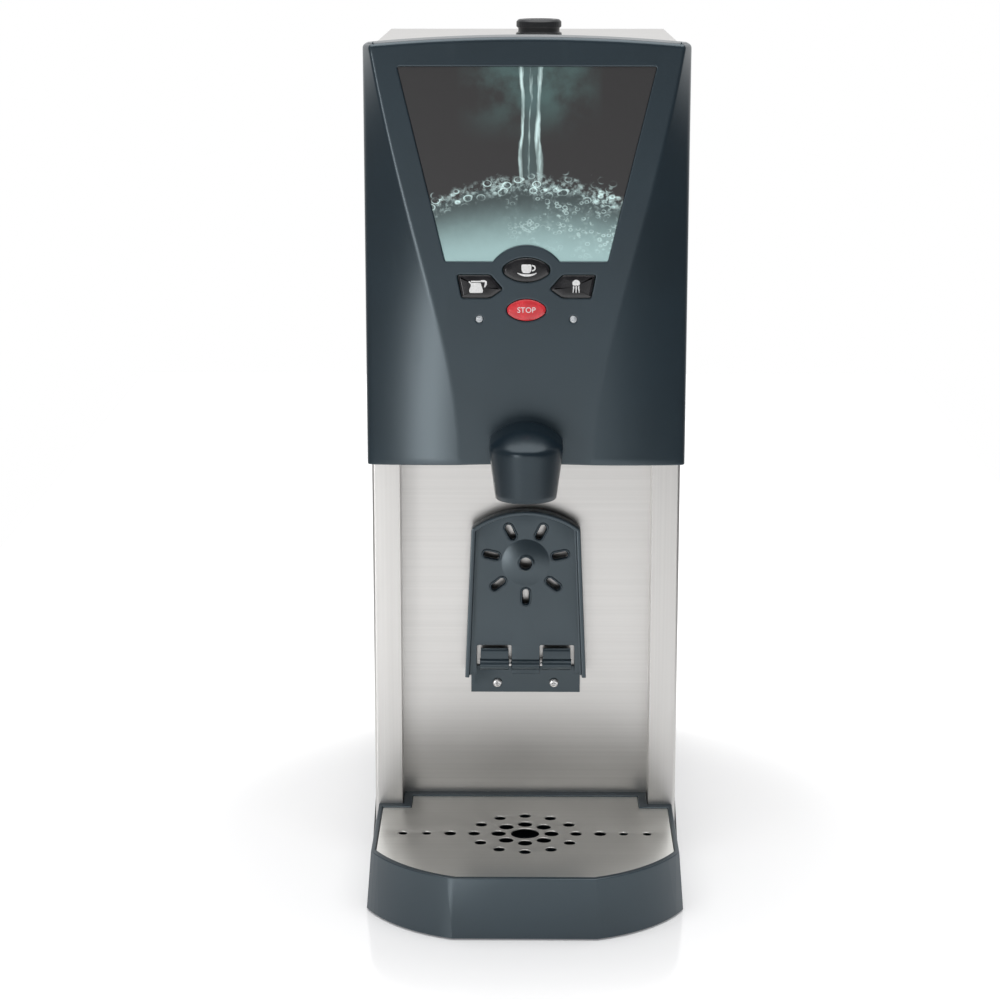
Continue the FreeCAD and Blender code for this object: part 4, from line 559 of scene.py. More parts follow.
PICTURE_LINE = outline(
    (-58.2, 466.7), (-23.9, 466.7), -29.8, (23.9, 466.7), (58.2, 466.7), (91.5, 604.5), (-91.5, 604.5),
    pitch=2.0,
)
cover = Skin()
rise = np.linspace(0, 1, 64)
right = cover_net(rise)
left = right * [-1, 1, 1]
for net in (right, left):
    cover.grid(net)
head_x = np.linspace(-1, 1, 41)[1:-1]
shield_head = np.stack([right[-1, 0, 0] * head_x, cover_head(right[-1, 0, 0] * head_x) - TOP_ROUND], axis=1)
shield_foot = np.stack([right[0, 0, 0] * head_x, cover_foot(right[0, 0, 0] * head_x) + FOOT_ROUND], axis=1)
shield_line = np.concatenate([
    shield_foot, right[:, 0][:, [0, 2]], shield_head[::-1], left[::-1, 0][:, [0, 2]],
])
LIP = 0.7
openings = [eased(PICTURE_LINE, 2.0)]
openings += [grown(line, KEY_GAP) for line in KEY_LINES.values()]
openings += [disc_line(side * LAMP_X, LAMP_Z, LAMP_RADIUS + 0.1) for side in (-1, 1)]
openings.append(disc_line(0.0, TUBE_Z, TUBE_HOLE))
# A narrow flat band round every edge keeps the shading of the shield's face flat.
BAND = 0.6
inner_line = grown(shield_line, -BAND)
cover.grid(np.array([upright(inner_line, SHIELD_Y), upright(shield_line, SHIELD_Y)]), round_columns=True)
points, faces = filled(inner_line, *[grown(line, LIP + BAND) for line in openings])
cover.add(upright(points, SHIELD_Y), faces)
quarter = np.linspace(0, np.pi / 2, 5)
for line in openings:
    lip = [upright(grown(line, LIP + BAND), SHIELD_Y)]
    lip += [upright(grown(line, LIP * (1 - np.sin(a))), SHIELD_Y + LIP * (1 - np.cos(a))) for a in quarter]
    cover.grid(np.array(lip), round_columns=True)


def around_cover(row, across):
    """One level line round the whole cover, from the left rear edge to the right one."""
    middle = np.stack([right[row, 0, 0] * head_x, np.full_like(head_x, SHIELD_Y), across], axis=1)
    return np.concatenate([left[row][::-1], middle, right[row]])


def rolled(line, radius, up):
    """Rolls an edge inward: a quarter circle from the face to level, in the line's own plan normals."""
    inward = left_of(line[:, :2])
    rows = []
    for a in quarter:
        row = line.copy()
        row[:, :2] += inward * radius * (1 - np.cos(a))
        row[:, 2] += up * radius * np.sin(a)
        rows.append(row)
    return np.array(rows), inward


head_line = around_cover(-1, shield_head[:, 1])
head_roll, _ = rolled(head_line, TOP_ROUND, 1)
head_roll[..., 1] = np.minimum(head_roll[..., 1], COVER_BACK)
cover.grid(head_roll)
lid_front = head_roll[-1, :, :2]
lid_rear_x = np.linspace(lid_front[-1, 0], lid_front[0, 0], 40)[1:-1]
lid_rear = np.stack([lid_rear_x, np.full_like(lid_rear_x, COVER_BACK)], axis=1)
points, faces = filled(np.concatenate([lid_front, lid_rear]))
lid = np.concatenate([points, cover_head(points[:, 0])[:, None]], axis=1)
cover.add(lid, faces)
foot_line = around_cover(0, shield_foot[:, 1])
foot_roll, inward = rolled(foot_line, FOOT_ROUND, -1)
foot_lip = foot_roll[-1].copy()
foot_lip[:, :2] += inward * (COVER_WALL - FOOT_ROUND + 0.6)
foot_roll = np.concatenate([foot_roll, foot_lip[None]])
foot_roll[..., 1] = np.minimum(foot_roll[..., 1], COVER_BACK)
cover.grid(foot_roll)


def cover_paint(name, tone, grain=None, index=1.8):
    """Dark blue-grey plastic with a satin lacquer, fine orange peel and faint rubbing marks."""
    finish = Finish(name, IOR=index, Specular_Tint=(0.8, 0.93, 1.0, 1.0))
    peel = finish.noise(1.6, 2.0)
    fine = finish.noise(0.3, 2.0)
    cloud = finish.noise(80.0, 2.0)
    rub = finish.noise(9.0, 4.0, stretch=(1.0, 1.0, 6.0)).step(0.55, 0.8)
    light = tuple(c * 1.1 for c in tone)
    dark = tuple(c * 0.9 for c in tone)
    height = 0.7 * peel + 0.3 * fine
    if grain:
        height = height + finish.noise(1.0, 2.0, stretch=grain)
    return finish.use(
        Base_Color=finish.blend(cloud.step(0.35, 0.65), dark, light),
        Roughness=0.3 + 0.04 * rub + 0.05 * (fine - 0.5),
        Normal=finish.bump(height, 0.008, 0.5),
    )


PAINT = (0.009, 0.019, 0.028)
cover_plastic = cover_paint("cover_plastic", PAINT)
front = cover.piece("front_cover_shell", "housing", "cover_plastic", cover_plastic, ["front_cover"], sharp=50)
wall = front.modifiers.new("wall", "SOLIDIFY")
wall.thickness = COVER_WALL * MM
wall.offset = -1.0

# ======================================
# The picture. A printed film behind the shield's window, lit from behind: water falls in a double
# stream into a basin, with steam above and bubbles below.
# ======================================

picture = Finish("picture_film", Roughness=0.32, Emission_Strength=0.22)
across, high = picture.axis("X"), picture.axis("Z")
sway = picture.noise(16.0, 3.0, stretch=(1.0, 1.0, 2.2))
ripple = picture.noise(7.0, 4.0)
swayed = across + 9.0 * (sway - 0.5)


def strand(middle, wide):
    """A soft bright line down the stream, brightest at its middle."""
    reach = swayed - middle
    return (1.0 - (reach * reach) / (wide * wide)).clamp()


FILM_GREY = (0.033, 0.032, 0.033)
PALE = (0.34, 0.5, 0.5)
FOAM = (0.66, 0.86, 0.85)
# The basin's rim lies at WATER_Z; the streams fall into it at FALL_X.
FALL_X, WATER_Z = 2.0, 522.0
distance = across - FALL_X
level = WATER_Z - 13.5 * (distance * distance) / (62.0 * 62.0) + 11.0 * (ripple - 0.5)
above = high - level
steam_spread = (1.0 - (distance * distance) / (52.0 * 52.0)).clamp()
steam = steam_spread * high.step(548.0, 596.0) * picture.noise(26.0, 4.0).step(0.32, 0.66)
scene_tone = picture.blend(0.75 * steam, FILM_GREY, (0.1, 0.19, 0.185))
body_glow = strand(2.8, 8.5) * above.step(0.0, 6.0)
scene_tone = picture.blend(0.5 * body_glow, scene_tone, (0.1, 0.16, 0.165))
streak = picture.noise(5.0, 3.0, stretch=(0.5, 1.0, 6.0)).step(0.42, 0.62)
falling = (strand(-3.6, 1.5) + 0.55 * strand(2.4, 0.9) * streak + strand(8.6, 1.9)).clamp()
falling = falling * above.step(-2.0, 4.0) * (0.35 + 0.65 * streak)
scene_tone = picture.blend(falling, scene_tone, FOAM)
depth = (0.5 * (WATER_Z - high) - 0.5 * above) / 50.0
water = picture.blend(depth.step(0.12, 1.0), (0.05, 0.068, 0.07), PALE)
scene_tone = picture.blend(above.step(0.5, -0.5), scene_tone, water)


def bubbles(size, shift, thin=0.07):
    """Thin rings: bright where a spot is a third of a cell from the cell's centre."""
    spot = picture.add(
        "ShaderNodeMapping", {}, {"Vector": picture.place, "Location": shift, "Scale": (1.0, 0.0, 1.35)}
    )
    cell = picture.add("ShaderNodeTexVoronoi", {}, {"Vector": spot, "Scale": 1 / (size * MM)})
    miss = (cell - 0.36) * (cell - 0.36)
    return (1.0 - miss / (thin * thin)).clamp()


patches = picture.noise(12.0, 3.0).step(0.45, 0.62)
crest = above.step(-9.0, -2.0) * above.step(8.0, 1.0)
splash = above.step(2.0, 5.0) * above.step(17.0, 7.0) * picture.noise(18.0, 2.0).step(0.52, 0.64)
foam_body = picture.noise(3.6, 5.0, rough=0.65).step(0.42, 0.68)
foam = crest * (0.4 * foam_body + 0.7 * bubbles(8.0, (0, 0, 0)) + 0.5 * foam_body * patches)
foam = foam + 0.55 * splash * bubbles(9.0, (0.3, 0, 0.2))
under = above.step(0.0, -6.0) * above.step(-56.0, -24.0) * across.step(-28.0, 12.0)
drift = picture.noise(9.0, 3.0).step(0.42, 0.58)
foam = foam + 0.5 * under * drift * (bubbles(4.4, (0.1, 0, 0.4), 0.11) + 0.35 * foam_body)
scene_tone = picture.blend(foam.clamp(), scene_tone, FOAM)
grain = picture.noise(0.5, 1.0)
picture.use(
    Base_Color=scene_tone, Emission_Color=scene_tone, Roughness=0.28 + 0.08 * grain,
    Normal=picture.bump(grain, 0.004, 0.4),
)
wear(picture.material, "picture_panel")

# ======================================
# The keys. Four glossy caps stand a millimetre proud of the shield, each with a bevelled edge and a
# white printed sign. Three are black; the stop key is red.
# ======================================


def gloss(name, tone, rough=0.16):
    """Polished moulded plastic with fine handling scratches and light finger smears."""
    finish = Finish(name, Coat_Weight=0.25, Coat_Roughness=0.08)
    smear = finish.noise(6.0, 3.0)
    scratch = finish.noise(0.9, 3.0, stretch=(7.0, 1.0, 0.4)).step(0.6, 0.75)
    light = tuple(min(c * 1.25 + 0.004, 1) for c in tone)
    return finish.use(
        Base_Color=finish.blend(smear.step(0.3, 0.7), tone, light),
        Roughness=rough + 0.12 * smear.step(0.35, 0.7) + 0.06 * scratch,
        Normal=finish.bump(smear + 0.3 * scratch, 0.006, 0.4),
    )


key_black = gloss("key_black", (0.006, 0.006, 0.008))
key_red = gloss("key_red", (0.62, 0.035, 0.045))
ink = Finish("sign_ink")
ink_wear = ink.noise(1.5, 3.0)
ink.use(
    Base_Color=ink.blend(ink_wear.step(0.3, 0.7), (0.78, 0.79, 0.79), (0.9, 0.9, 0.9)),
    Roughness=0.35 + 0.15 * ink_wear,
    Normal=ink.bump(ink_wear, 0.004, 0.4),
)
KEY_FRONT = SHIELD_Y - 1.0
CAP_DEPTH = 4.5
# How far each ring of a cap lies outside its outline, and its depth behind the front face.
CAP_RINGS = [(0.0, CAP_DEPTH), (0.0, 1.1), (-0.12, 0.75), (-0.4, 0.55), (-1.55, 0.12), (-1.8, 0.03)]
CAP_RINGS += [(-2.1, 0.0)]
for node, line in KEY_LINES.items():
    middle = line.mean(axis=0)
    rings = [upright(grown(line, out), KEY_FRONT + depth) for out, depth in CAP_RINGS]
    front_ring, rear_ring = rings[-1], rings[0]
    centre = upright(middle[None], KEY_FRONT)[0]
    rear = upright(middle[None], KEY_FRONT + CAP_DEPTH)[0]
    rings = [rear + (rear_ring - rear) * k for k in (0.0, 0.5)] + rings
    rings += [centre + (front_ring - centre) * k for k in (0.66, 0.33, 0.0)]
    cap = Skin()
    cap.grid(np.array(rings), round_columns=True)
    slot, paint = ("key_red", key_red) if node == "stop_key" else ("key_black", key_black)
    cap.piece(node + "_cap", node, slot, paint, [node], sharp=24)


def signs(name, key, lines, strokes=()):
    """Flat printed shapes on a key: each line filled, each stroke a ribbon of its width, both 0.1 mm
    thick. A ribbon's edges lie half its width to either side of the path, square to it."""
    sign = Skin()
    rear, face = KEY_FRONT + 0.03, KEY_FRONT - 0.06
    loops = [np.array(line, float) for line in lines]
    for path, width in strokes:
        path = np.array(path, float)
        side = left_of(path) * np.array(width).reshape(-1, 1) / 2
        loops.append(np.concatenate([path - side, (path + side)[::-1]]))
    for loop in loops:
        points, faces = filled(loop)
        sign.add(upright(points, face), faces)
        sign.add(upright(points, rear), faces[:, ::-1])
        sign.grid(np.array([upright(loop, rear), upright(loop, face)]), round_columns=True)
    sign.piece(name, key, "key_black", ink.material)


def swept(x, z, wide, high, start, end, steps=16):
    """Points on an ellipse between two angles in degrees."""
    a = np.radians(np.linspace(start, end, steps))
    return np.stack([x + wide * np.cos(a), z + high * np.sin(a)], axis=1)


CUP_AT = np.array([0.0, 461.6])
cup_corners = [(-3.6, 3.3), (-3.5, -1.2), (-2.4, -2.9), (2.4, -2.9), (3.5, -1.2), (3.6, 3.3)]
cup_bowl = eased(np.array(cup_corners), 1.0)
cup_handle = swept(3.5, 0.7, 2.7, 1.9, 80, -80)
saucer = swept(0.4, 1.4, 9.6, 6.0, -135, -45)
saucer_width = 0.5 + 1.1 * np.sin(np.linspace(0, np.pi, 16))
cup_strokes = [(cup_handle + CUP_AT, 1.0), (saucer + CUP_AT, saucer_width)]
signs("cup_sign", "cup_key", [cup_bowl + CUP_AT], cup_strokes)
JUG_AT = np.array([-35.2, 449.0])
jug_body = [
    (-5.4, -4.6), (3.6, -4.6), (4.2, -3.0), (3.0, 0.6), (2.5, 2.6), (-4.4, 2.6), (-5.6, 4.0),
    (-6.3, 3.2), (-4.7, 1.6), (-4.6, 0.4), (-5.9, -3.0),
]
jug_lid = [(-4.6, 3.1), (2.6, 3.1), (2.2, 4.1), (-4.4, 4.1)]
jug_handle = np.array([(2.4, 3.9), (5.2, 3.9), (6.2, 3.3), (6.1, 1.6), (5.2, -0.6)])
jug_lines = [eased(np.array(jug_body) + JUG_AT, 0.6), jug_lid + JUG_AT]
signs("jug_sign", "jug_key", jug_lines, [(jug_handle + JUG_AT, [1.2, 1.5, 1.6, 1.5, 0.9])])
TAP_AT = np.array([35.6, 449.2])
tap_head = swept(0, 2.2, 2.7, 2.5, -40, 220, 30)
falls = [np.array([(x, 0.2), (x, -1.6), (x * 1.15, -3.0), (x * 1.2, -4.6)]) for x in (-1.8, 0.0, 1.8)]
fall_strokes = [(fall + TAP_AT, [0.9, 0.9, 0.7, 0.5]) for fall in falls]
signs("tap_sign", "tap_key", [tap_head + TAP_AT], fall_strokes)

stop_text = bpy.data.curves.new("stop_sign_text", "FONT")
stop_text.body = "STOP"
stop_text.align_x = "CENTER"
stop_text.align_y = "CENTER"
stop_text.size = 5.6 * MM
stop_text.extrude = 0.045 * MM
stop_text.resolution_u = 4
text_object = bpy.data.objects.new("stop_sign_text", stop_text)
bpy.context.scene.collection.objects.link(text_object)
stop_mesh = bpy.data.meshes.new_from_object(text_object)
bpy.data.objects.remove(text_object)
flat = np.zeros(len(stop_mesh.vertices) * 3)
stop_mesh.vertices.foreach_get("co", flat)
flat = flat.reshape(-1, 3)
stop_middle = KEY_LINES["stop_key"].mean(axis=0) * MM
text_y = (KEY_FRONT - 0.015) * MM - flat[:, 2]
stood = np.stack([flat[:, 0] + stop_middle[0], text_y, flat[:, 1] + stop_middle[1]], axis=1)
stop_mesh.vertices.foreach_set("co", stood.ravel())
stop_mesh.update()
fit_out(bpy.data.objects.new("stop_sign", stop_mesh), "stop_key", ink.material, [])

# Two indicator lamps: clear domed light pipes.
lamp_clear = Finish("lamp_clear", Coat_Weight=0.6, Coat_Roughness=0.05)
lamp_haze = lamp_clear.noise(1.2, 2.0)
lamp_spot = lamp_clear.noise(2.4, 1.0)
lamp_clear.use(
    Base_Color=lamp_clear.blend(lamp_spot.step(0.35, 0.65), (0.42, 0.45, 0.48), (0.74, 0.77, 0.79)),
    Roughness=0.12 + 0.12 * lamp_haze,
    Normal=lamp_clear.bump(lamp_haze, 0.01, 0.4),
)
for side, node in ((-1, "left_lamp"), (1, "right_lamp")):
    front_y = box_mm(node)[0][1]
    dome = [(0, front_y + 6), (LAMP_RADIUS - 0.05, front_y + 6), (LAMP_RADIUS - 0.05, front_y + 0.9)]
    dome += [(LAMP_RADIUS * math.cos(a) - 0.05 * math.cos(a), front_y + 0.9 - 0.9 * math.sin(a))
             for a in np.linspace(0.15, np.pi / 2 - 0.01, 8)]
    dome.append((0, front_y))
    lens = Skin()
    lens.grid(turned(dome, (side * LAMP_X, 0, LAMP_Z), "y", 32), round_columns=True)
    lens.piece(node + "_lens", "housing", "lamp_clear", lamp_clear.material, [node])

# ======================================
# The spout cover. A tapered, thin-walled cowl with a domed crown, screwed to the shield from inside.
# The silicone outlet tube and its nozzle hang in it.
# ======================================

SPOUT_LOW, SPOUT_HIGH = box_mm("spout_cover")
SHOULDER_RADIUS = SPOUT_HIGH[0]
MOUTH_RADIUS = 22.0
SPOUT_Y = SPOUT_LOW[1] + SHOULDER_RADIUS
MOUTH_Z = SPOUT_LOW[2]
SHOULDER_Z = 337.5
CROWN = SPOUT_HIGH[2] - SHOULDER_Z
SPOUT_WALL = 2.0


def cowl_row(radius, height):
    """One level line of the cowl: straight from the shield, half round in front, straight back."""
    a = np.linspace(-np.pi / 2, np.pi / 2, 49)
    round_part = np.stack([radius * np.sin(a), SPOUT_Y - radius * np.cos(a)], axis=1)
    back = np.linspace(SHIELD_Y, SPOUT_Y, 7)[:-1]
    left_part = np.stack([np.full(6, -radius), back], axis=1)
    right_part = np.stack([np.full(6, radius), back[::-1]], axis=1)
    line = np.concatenate([left_part, round_part, right_part])
    return np.concatenate([line, np.full((len(line), 1), height)], axis=1)


def cowl_radius(z):
    t = (z - MOUTH_Z) / (SHOULDER_Z - MOUTH_Z)
    return MOUTH_RADIUS + t * (SHOULDER_RADIUS - MOUTH_RADIUS)


ROOF_Z = SHOULDER_Z - 3.0
MOUTH_INNER = MOUTH_RADIUS - SPOUT_WALL
cowl_side = [(0.0, ROOF_Z), (cowl_radius(ROOF_Z) - SPOUT_WALL, ROOF_Z), (MOUTH_INNER, MOUTH_Z + 0.4)]
cowl_side += [(MOUTH_INNER + 0.5, MOUTH_Z), (MOUTH_RADIUS - 0.5, MOUTH_Z), (MOUTH_RADIUS, MOUTH_Z + 0.6)]
cowl_side += [(cowl_radius(z), z) for z in np.linspace(MOUTH_Z + 4, SHOULDER_Z - 2.6, 12)]
BALL = (SHOULDER_RADIUS**2 + CROWN**2) / (2 * CROWN)
CROWN_EDGE = 24.6
crown_radii = np.linspace(1, 0, 18) ** 0.7 * CROWN_EDGE
crown_line = [(r, SHOULDER_Z + math.sqrt(BALL**2 - r * r) - (BALL - CROWN)) for r in crown_radii]
shoulder_corner = np.array([SHOULDER_RADIUS, SHOULDER_Z + 0.6])
cowl_side += list(bend(np.array(cowl_side[-1]), shoulder_corner, np.array(crown_line[0]), 8)[1:-1, 0, :])
cowl_side += crown_line
cowl_net = np.array([cowl_row(radius, height) for radius, height in cowl_side])
cowl = Skin()
cowl.grid(cowl_net)
rear_line = np.concatenate([cowl_net[:, 0], cowl_net[::-1, -1][1:-1]])[:, [0, 2]]
points, faces = filled(rear_line)
cowl.add(upright(points, SHIELD_Y), faces)
spout_plastic = cover_paint("spout_plastic", (0.006, 0.013, 0.02), grain=(0.5, 0.5, 40.0), index=1.55)
cowl.piece("spout_cowl", "housing", "cover_plastic", spout_plastic, ["spout_cover"], sharp=40)

silicone = Finish("silicone", Roughness=0.4, Subsurface_Weight=0.15)
silicone_cloud = silicone.noise(8.0, 3.0)
silicone.use(
    Base_Color=silicone.blend(silicone_cloud, (0.58, 0.57, 0.52), (0.72, 0.71, 0.67)),
    Roughness=0.38 + 0.15 * silicone_cloud,
    Normal=silicone.bump(silicone.noise(0.8, 2.0), 0.01, 0.4),
)
wear(silicone.material, "outlet_tube", "spout_nozzle", "inlet_hose", "tank_gasket", "cap_seal")

# ======================================
# The fold-down cup stand. A moulded plate with a raised rim along its sides and arched top, seven
# slots in a star and a domed drain hole. It turns on a steel pin in a bracket on the niche's back.
# ======================================

STAND_LOW, STAND_HIGH = box_mm("cup_stand")
RIM_FRONT = STAND_LOW[1]
RIM_PROUD, STAND_THICK = 7.5, 3.0
STAND_FRONT = RIM_FRONT + RIM_PROUD
STAND_BACK = STAND_FRONT + STAND_THICK
HEEL_Z, CROWN_Z = STAND_LOW[2], STAND_HIGH[2]
STAND_TOP_HALF, STAND_HALF, STAND_SHOULDER_Z = 41.0, STAND_HIGH[0], 258.6
NOTCH_IN, NOTCH_OUT, NOTCH_Z = 11.0, 36.8, 165.6
STAR_Z, STAR_ORBIT = 230.7, 26.6
SLOT_LONG, SLOT_WIDE = 11.6, 4.6
DOME_RADIUS, DOME_RISE, DOME_BAND, DRAIN_RADIUS = 18.3, 2.6, 0.3, 4.4
top_rise = CROWN_Z - STAND_SHOULDER_Z
TOP_RADIUS = (STAND_TOP_HALF**2 + top_rise**2) / (2 * top_rise)

stand_line = outline(
    (-STAND_HALF, HEEL_Z), (-NOTCH_OUT, HEEL_Z), (-NOTCH_OUT, NOTCH_Z), (-NOTCH_IN, NOTCH_Z),
    (-NOTCH_IN, HEEL_Z), (NOTCH_IN, HEEL_Z), (NOTCH_IN, NOTCH_Z), (NOTCH_OUT, NOTCH_Z),
    (NOTCH_OUT, HEEL_Z), (STAND_HALF, HEEL_Z), (STAND_TOP_HALF, STAND_SHOULDER_Z), TOP_RADIUS,
    (-STAND_TOP_HALF, STAND_SHOULDER_Z), pitch=1.5,
)
stand_line = eased(stand_line, 1.2)
edge_line = grown(stand_line, -0.3)


def slot_line(angle):
    """A round-ended slot that points away from the star's centre."""
    radius, reach = SLOT_WIDE / 2, SLOT_LONG / 2 - SLOT_WIDE / 2
    steps = [(-radius, -reach), radius, (radius, -reach), (radius, reach), radius, (-radius, reach)]
    line = outline(*steps, pitch=0.5)
    turn = np.array([[math.cos(angle), math.sin(angle)], [-math.sin(angle), math.cos(angle)]])
    return (line + [0, STAR_ORBIT]) @ turn + [0, STAR_Z]


slots = [slot_line(math.pi + k * 2 * math.pi / 7) for k in range(7)]
# How far each ring of a slot's bead lies outside the slot, and its depth behind the plate's front.
BEAD = [(2.1, 0.0), (1.9, 0.0), (1.75, -0.45), (1.35, -0.85), (0.85, -0.8), (0.4, -0.3), (0.05, 0.4)]
BEAD += [(0.0, 1.0)]
EDGE_ROUND = 0.5
stand = Skin()
dome_line = disc_line(0, STAR_Z, DOME_RADIUS)
bead_lines = [grown(line, BEAD[0][0]) for line in slots]
points, faces = filled(grown(edge_line, -EDGE_ROUND), grown(dome_line, DOME_BAND), *bead_lines)
stand.add(upright(points, STAND_FRONT), faces)
rounded = [
    upright(
        grown(edge_line, -EDGE_ROUND + EDGE_ROUND * np.sin(a)),
        STAND_FRONT + EDGE_ROUND - EDGE_ROUND * np.cos(a),
    )
    for a in quarter
]
rounded.append(upright(edge_line, STAND_BACK))
stand.grid(np.array(rounded), round_columns=True)
drain_line = (dome_line - [0, STAR_Z]) * DRAIN_RADIUS / DOME_RADIUS + [0, STAR_Z]
points, faces = filled(edge_line, drain_line, *slots)
stand.add(upright(points, STAND_BACK), faces)
for line in slots:
    bead = [upright(grown(line, out), STAND_FRONT + depth) for out, depth in BEAD]
    stand.grid(np.array(bead + [upright(line, STAND_BACK)]), round_columns=True)
# The dome falls from its middle as a parabola; the drain's lip rises from it as a bead.
dome_radii = np.linspace(DOME_RADIUS, DRAIN_RADIUS + 2.0, 16)
dome = [(r, -DOME_RISE * (1 - (r / DOME_RADIUS) ** 2)) for r in dome_radii]
lip_base = dome[-1][1]
dome += [(DRAIN_RADIUS + 1.6, lip_base - 0.4), (DRAIN_RADIUS + 1.0, lip_base - 0.65)]
dome += [(DRAIN_RADIUS + 0.4, lip_base - 0.4), (DRAIN_RADIUS, lip_base + 0.5)]
dome_net = [upright(grown(dome_line, DOME_BAND), STAND_FRONT), upright(dome_line, STAND_FRONT)]
unit = (dome_line - [0, STAR_Z]) / DOME_RADIUS
dome_net += [upright(unit * r + [0, STAR_Z], STAND_FRONT + depth) for r, depth in dome[1:]]
stand.grid(np.array(dome_net), round_columns=True)
drain_wall = [upright(drain_line, y) for y in (STAND_FRONT + lip_base + 0.5, STAND_BACK)]
stand.grid(np.array(drain_wall), round_columns=True)

# The rim's section, as distance in from the edge and depth, carried along the sides and the arch.
RIM_SECTION = [(0, 0), (0, -9.6), (0.25, -10.25), (0.9, -10.5), (2.3, -10.5), (2.95, -10.25), (3.2, -9.6),
               (3.2, -4.2), (3.6, -3.4), (4.6, -3.02), (4.6, -1.0)]
rim_points = eased(outline(
    (STAND_HALF, HEEL_Z), (STAND_TOP_HALF, STAND_SHOULDER_Z), TOP_RADIUS, (-STAND_TOP_HALF, STAND_SHOULDER_Z),
    (-STAND_HALF, HEEL_Z), pitch=4.0,
), 6.0, 6)
rim_path = rim_points[rim_points[:, 1] > HEEL_Z + 8]
rim_path = np.roll(rim_path, -int(np.argmax(rim_path[:, 0])), axis=0)
rim_path = np.concatenate([[[STAND_HALF, HEEL_Z]], rim_path, [[-STAND_HALF, HEEL_Z]]])
inward = left_of(rim_path)
rim_net = np.array([upright(rim_path + inward * deep, STAND_BACK + out) for deep, out in RIM_SECTION])
stand.grid(rim_net, round_rows=True)
section = np.array(RIM_SECTION, float)
points, faces = filled(section[::-1])
for end in (0, -1):
    cap_points = rim_path[end] + inward[end] * points[:, :1]
    stand.add(np.stack([cap_points[:, 0], STAND_BACK + points[:, 1], cap_points[:, 1]], axis=1), faces)
HINGE_Y, HINGE_Z = -75.8, 150.5
knuckle = [(0, -10.9), (3.9, -10.9), (4.4, -10.4), (4.4, 10.4), (3.9, 10.9), (0, 10.9)]
stand.grid(turned(knuckle, (0, HINGE_Y, HINGE_Z), "x", 32), round_columns=True)
stand.piece("cup_stand_plate", "cup_stand", "cover_plastic", cover_plastic, ["cup_stand"], sharp=40)
softened("stand_bracket", 0.5, "housing", cover_plastic)
# A tongue behind each window stiffens the bracket: y and z of its section.
TONGUE = [
    (-73.4, 147.0), (-73.4, 162.4), (-74.0, 163.0), (-75.4, 163.0), (-76.3, 162.2), (-76.6, 160.6),
    (-76.4, 147.0),
]
TONGUE_IN, TONGUE_OUT = 13.2, 34.2
section_points, section_faces = filled(np.array(TONGUE))
for side, name in ((-1, "left_bracket_tongue"), (1, "right_bracket_tongue")):
    tongue = Skin()
    ends = sorted((side * TONGUE_IN, side * TONGUE_OUT))
    for end, flip in zip(ends, (1, -1)):
        face = np.insert(section_points, 0, end, axis=1)
        tongue.add(face, section_faces[:, ::flip])
    tongue.grid(np.array([np.insert(np.array(TONGUE), 0, end, axis=1) for end in ends]), round_columns=True)
    tongue.piece(name, "housing", "cover_plastic", cover_plastic, [], sharp=40)

bright_steel = Finish("bright_steel", Metallic=1.0)
turning = bright_steel.noise(0.7, 3.0)
bright_steel.use(
    Base_Color=bright_steel.blend(turning, (0.62, 0.62, 0.63), (0.8, 0.8, 0.8)),
    Roughness=0.16 + 0.14 * turning,
    Normal=bright_steel.bump(turning, 0.006, 0.4),
)
wear(bright_steel.material, "hinge_pin", "tank_lid_screws", "case_screws", "foot_screws")
pan_low, pan_high = box_mm("stand_screws")
PAN_SCALE, PAN_HEAD, SHANK_RADIUS, CROSS_HALF = 1.15, 2.1, 2.0, 0.42
PAN_RADIUS = PAN_SCALE * (pan_high[2] - pan_low[2]) / 2
pan_z = (pan_low[2] + pan_high[2]) / 2
# A pan head: a flattened dome, minus a cross whose arms deepen towards the middle.
ring = np.linspace(0, 1, 22)[:, None] * PAN_RADIUS
turn = np.linspace(0, 2 * np.pi, 64, endpoint=False)[None]
px, pz = ring * np.cos(turn), ring * np.sin(turn)
head = PAN_HEAD * (1 - (ring / PAN_RADIUS) ** 4) ** 0.7 + 0 * turn
arm = np.minimum(np.abs(px), np.abs(pz)) < CROSS_HALF
pit = np.where(arm, np.clip(1.5 - 0.72 * ring, 0, 1.4), 0)
for side, name in ((-1, "left_pan_screw"), (1, "right_pan_screw")):
    pan = Skin()
    pan_x = side * (pan_high[0] - PAN_RADIUS / PAN_SCALE)
    net = np.stack([pan_x + px, pan_low[1] + PAN_HEAD - head + pit, pan_z + pz], axis=-1)
    pan.grid(net, round_columns=True)
    shank = [(PAN_RADIUS, pan_low[1] + PAN_HEAD), (SHANK_RADIUS, pan_low[1] + PAN_HEAD)]
    shank += [(SHANK_RADIUS, pan_high[1]), (0, pan_high[1])]
    pan.grid(turned(shank, (pan_x, 0, pan_z), "y", 64), round_columns=True)
    pan.piece(name, "housing", "screw_steel", bright_steel.material, ["stand_screws"], sharp=30)

# ======================================
# The drip tray and its plate. The tray is a faceted moulding that slides under the niche; the plate
# is brushed stainless sheet, punched with a star of round drain holes, and lifts out.
# ======================================

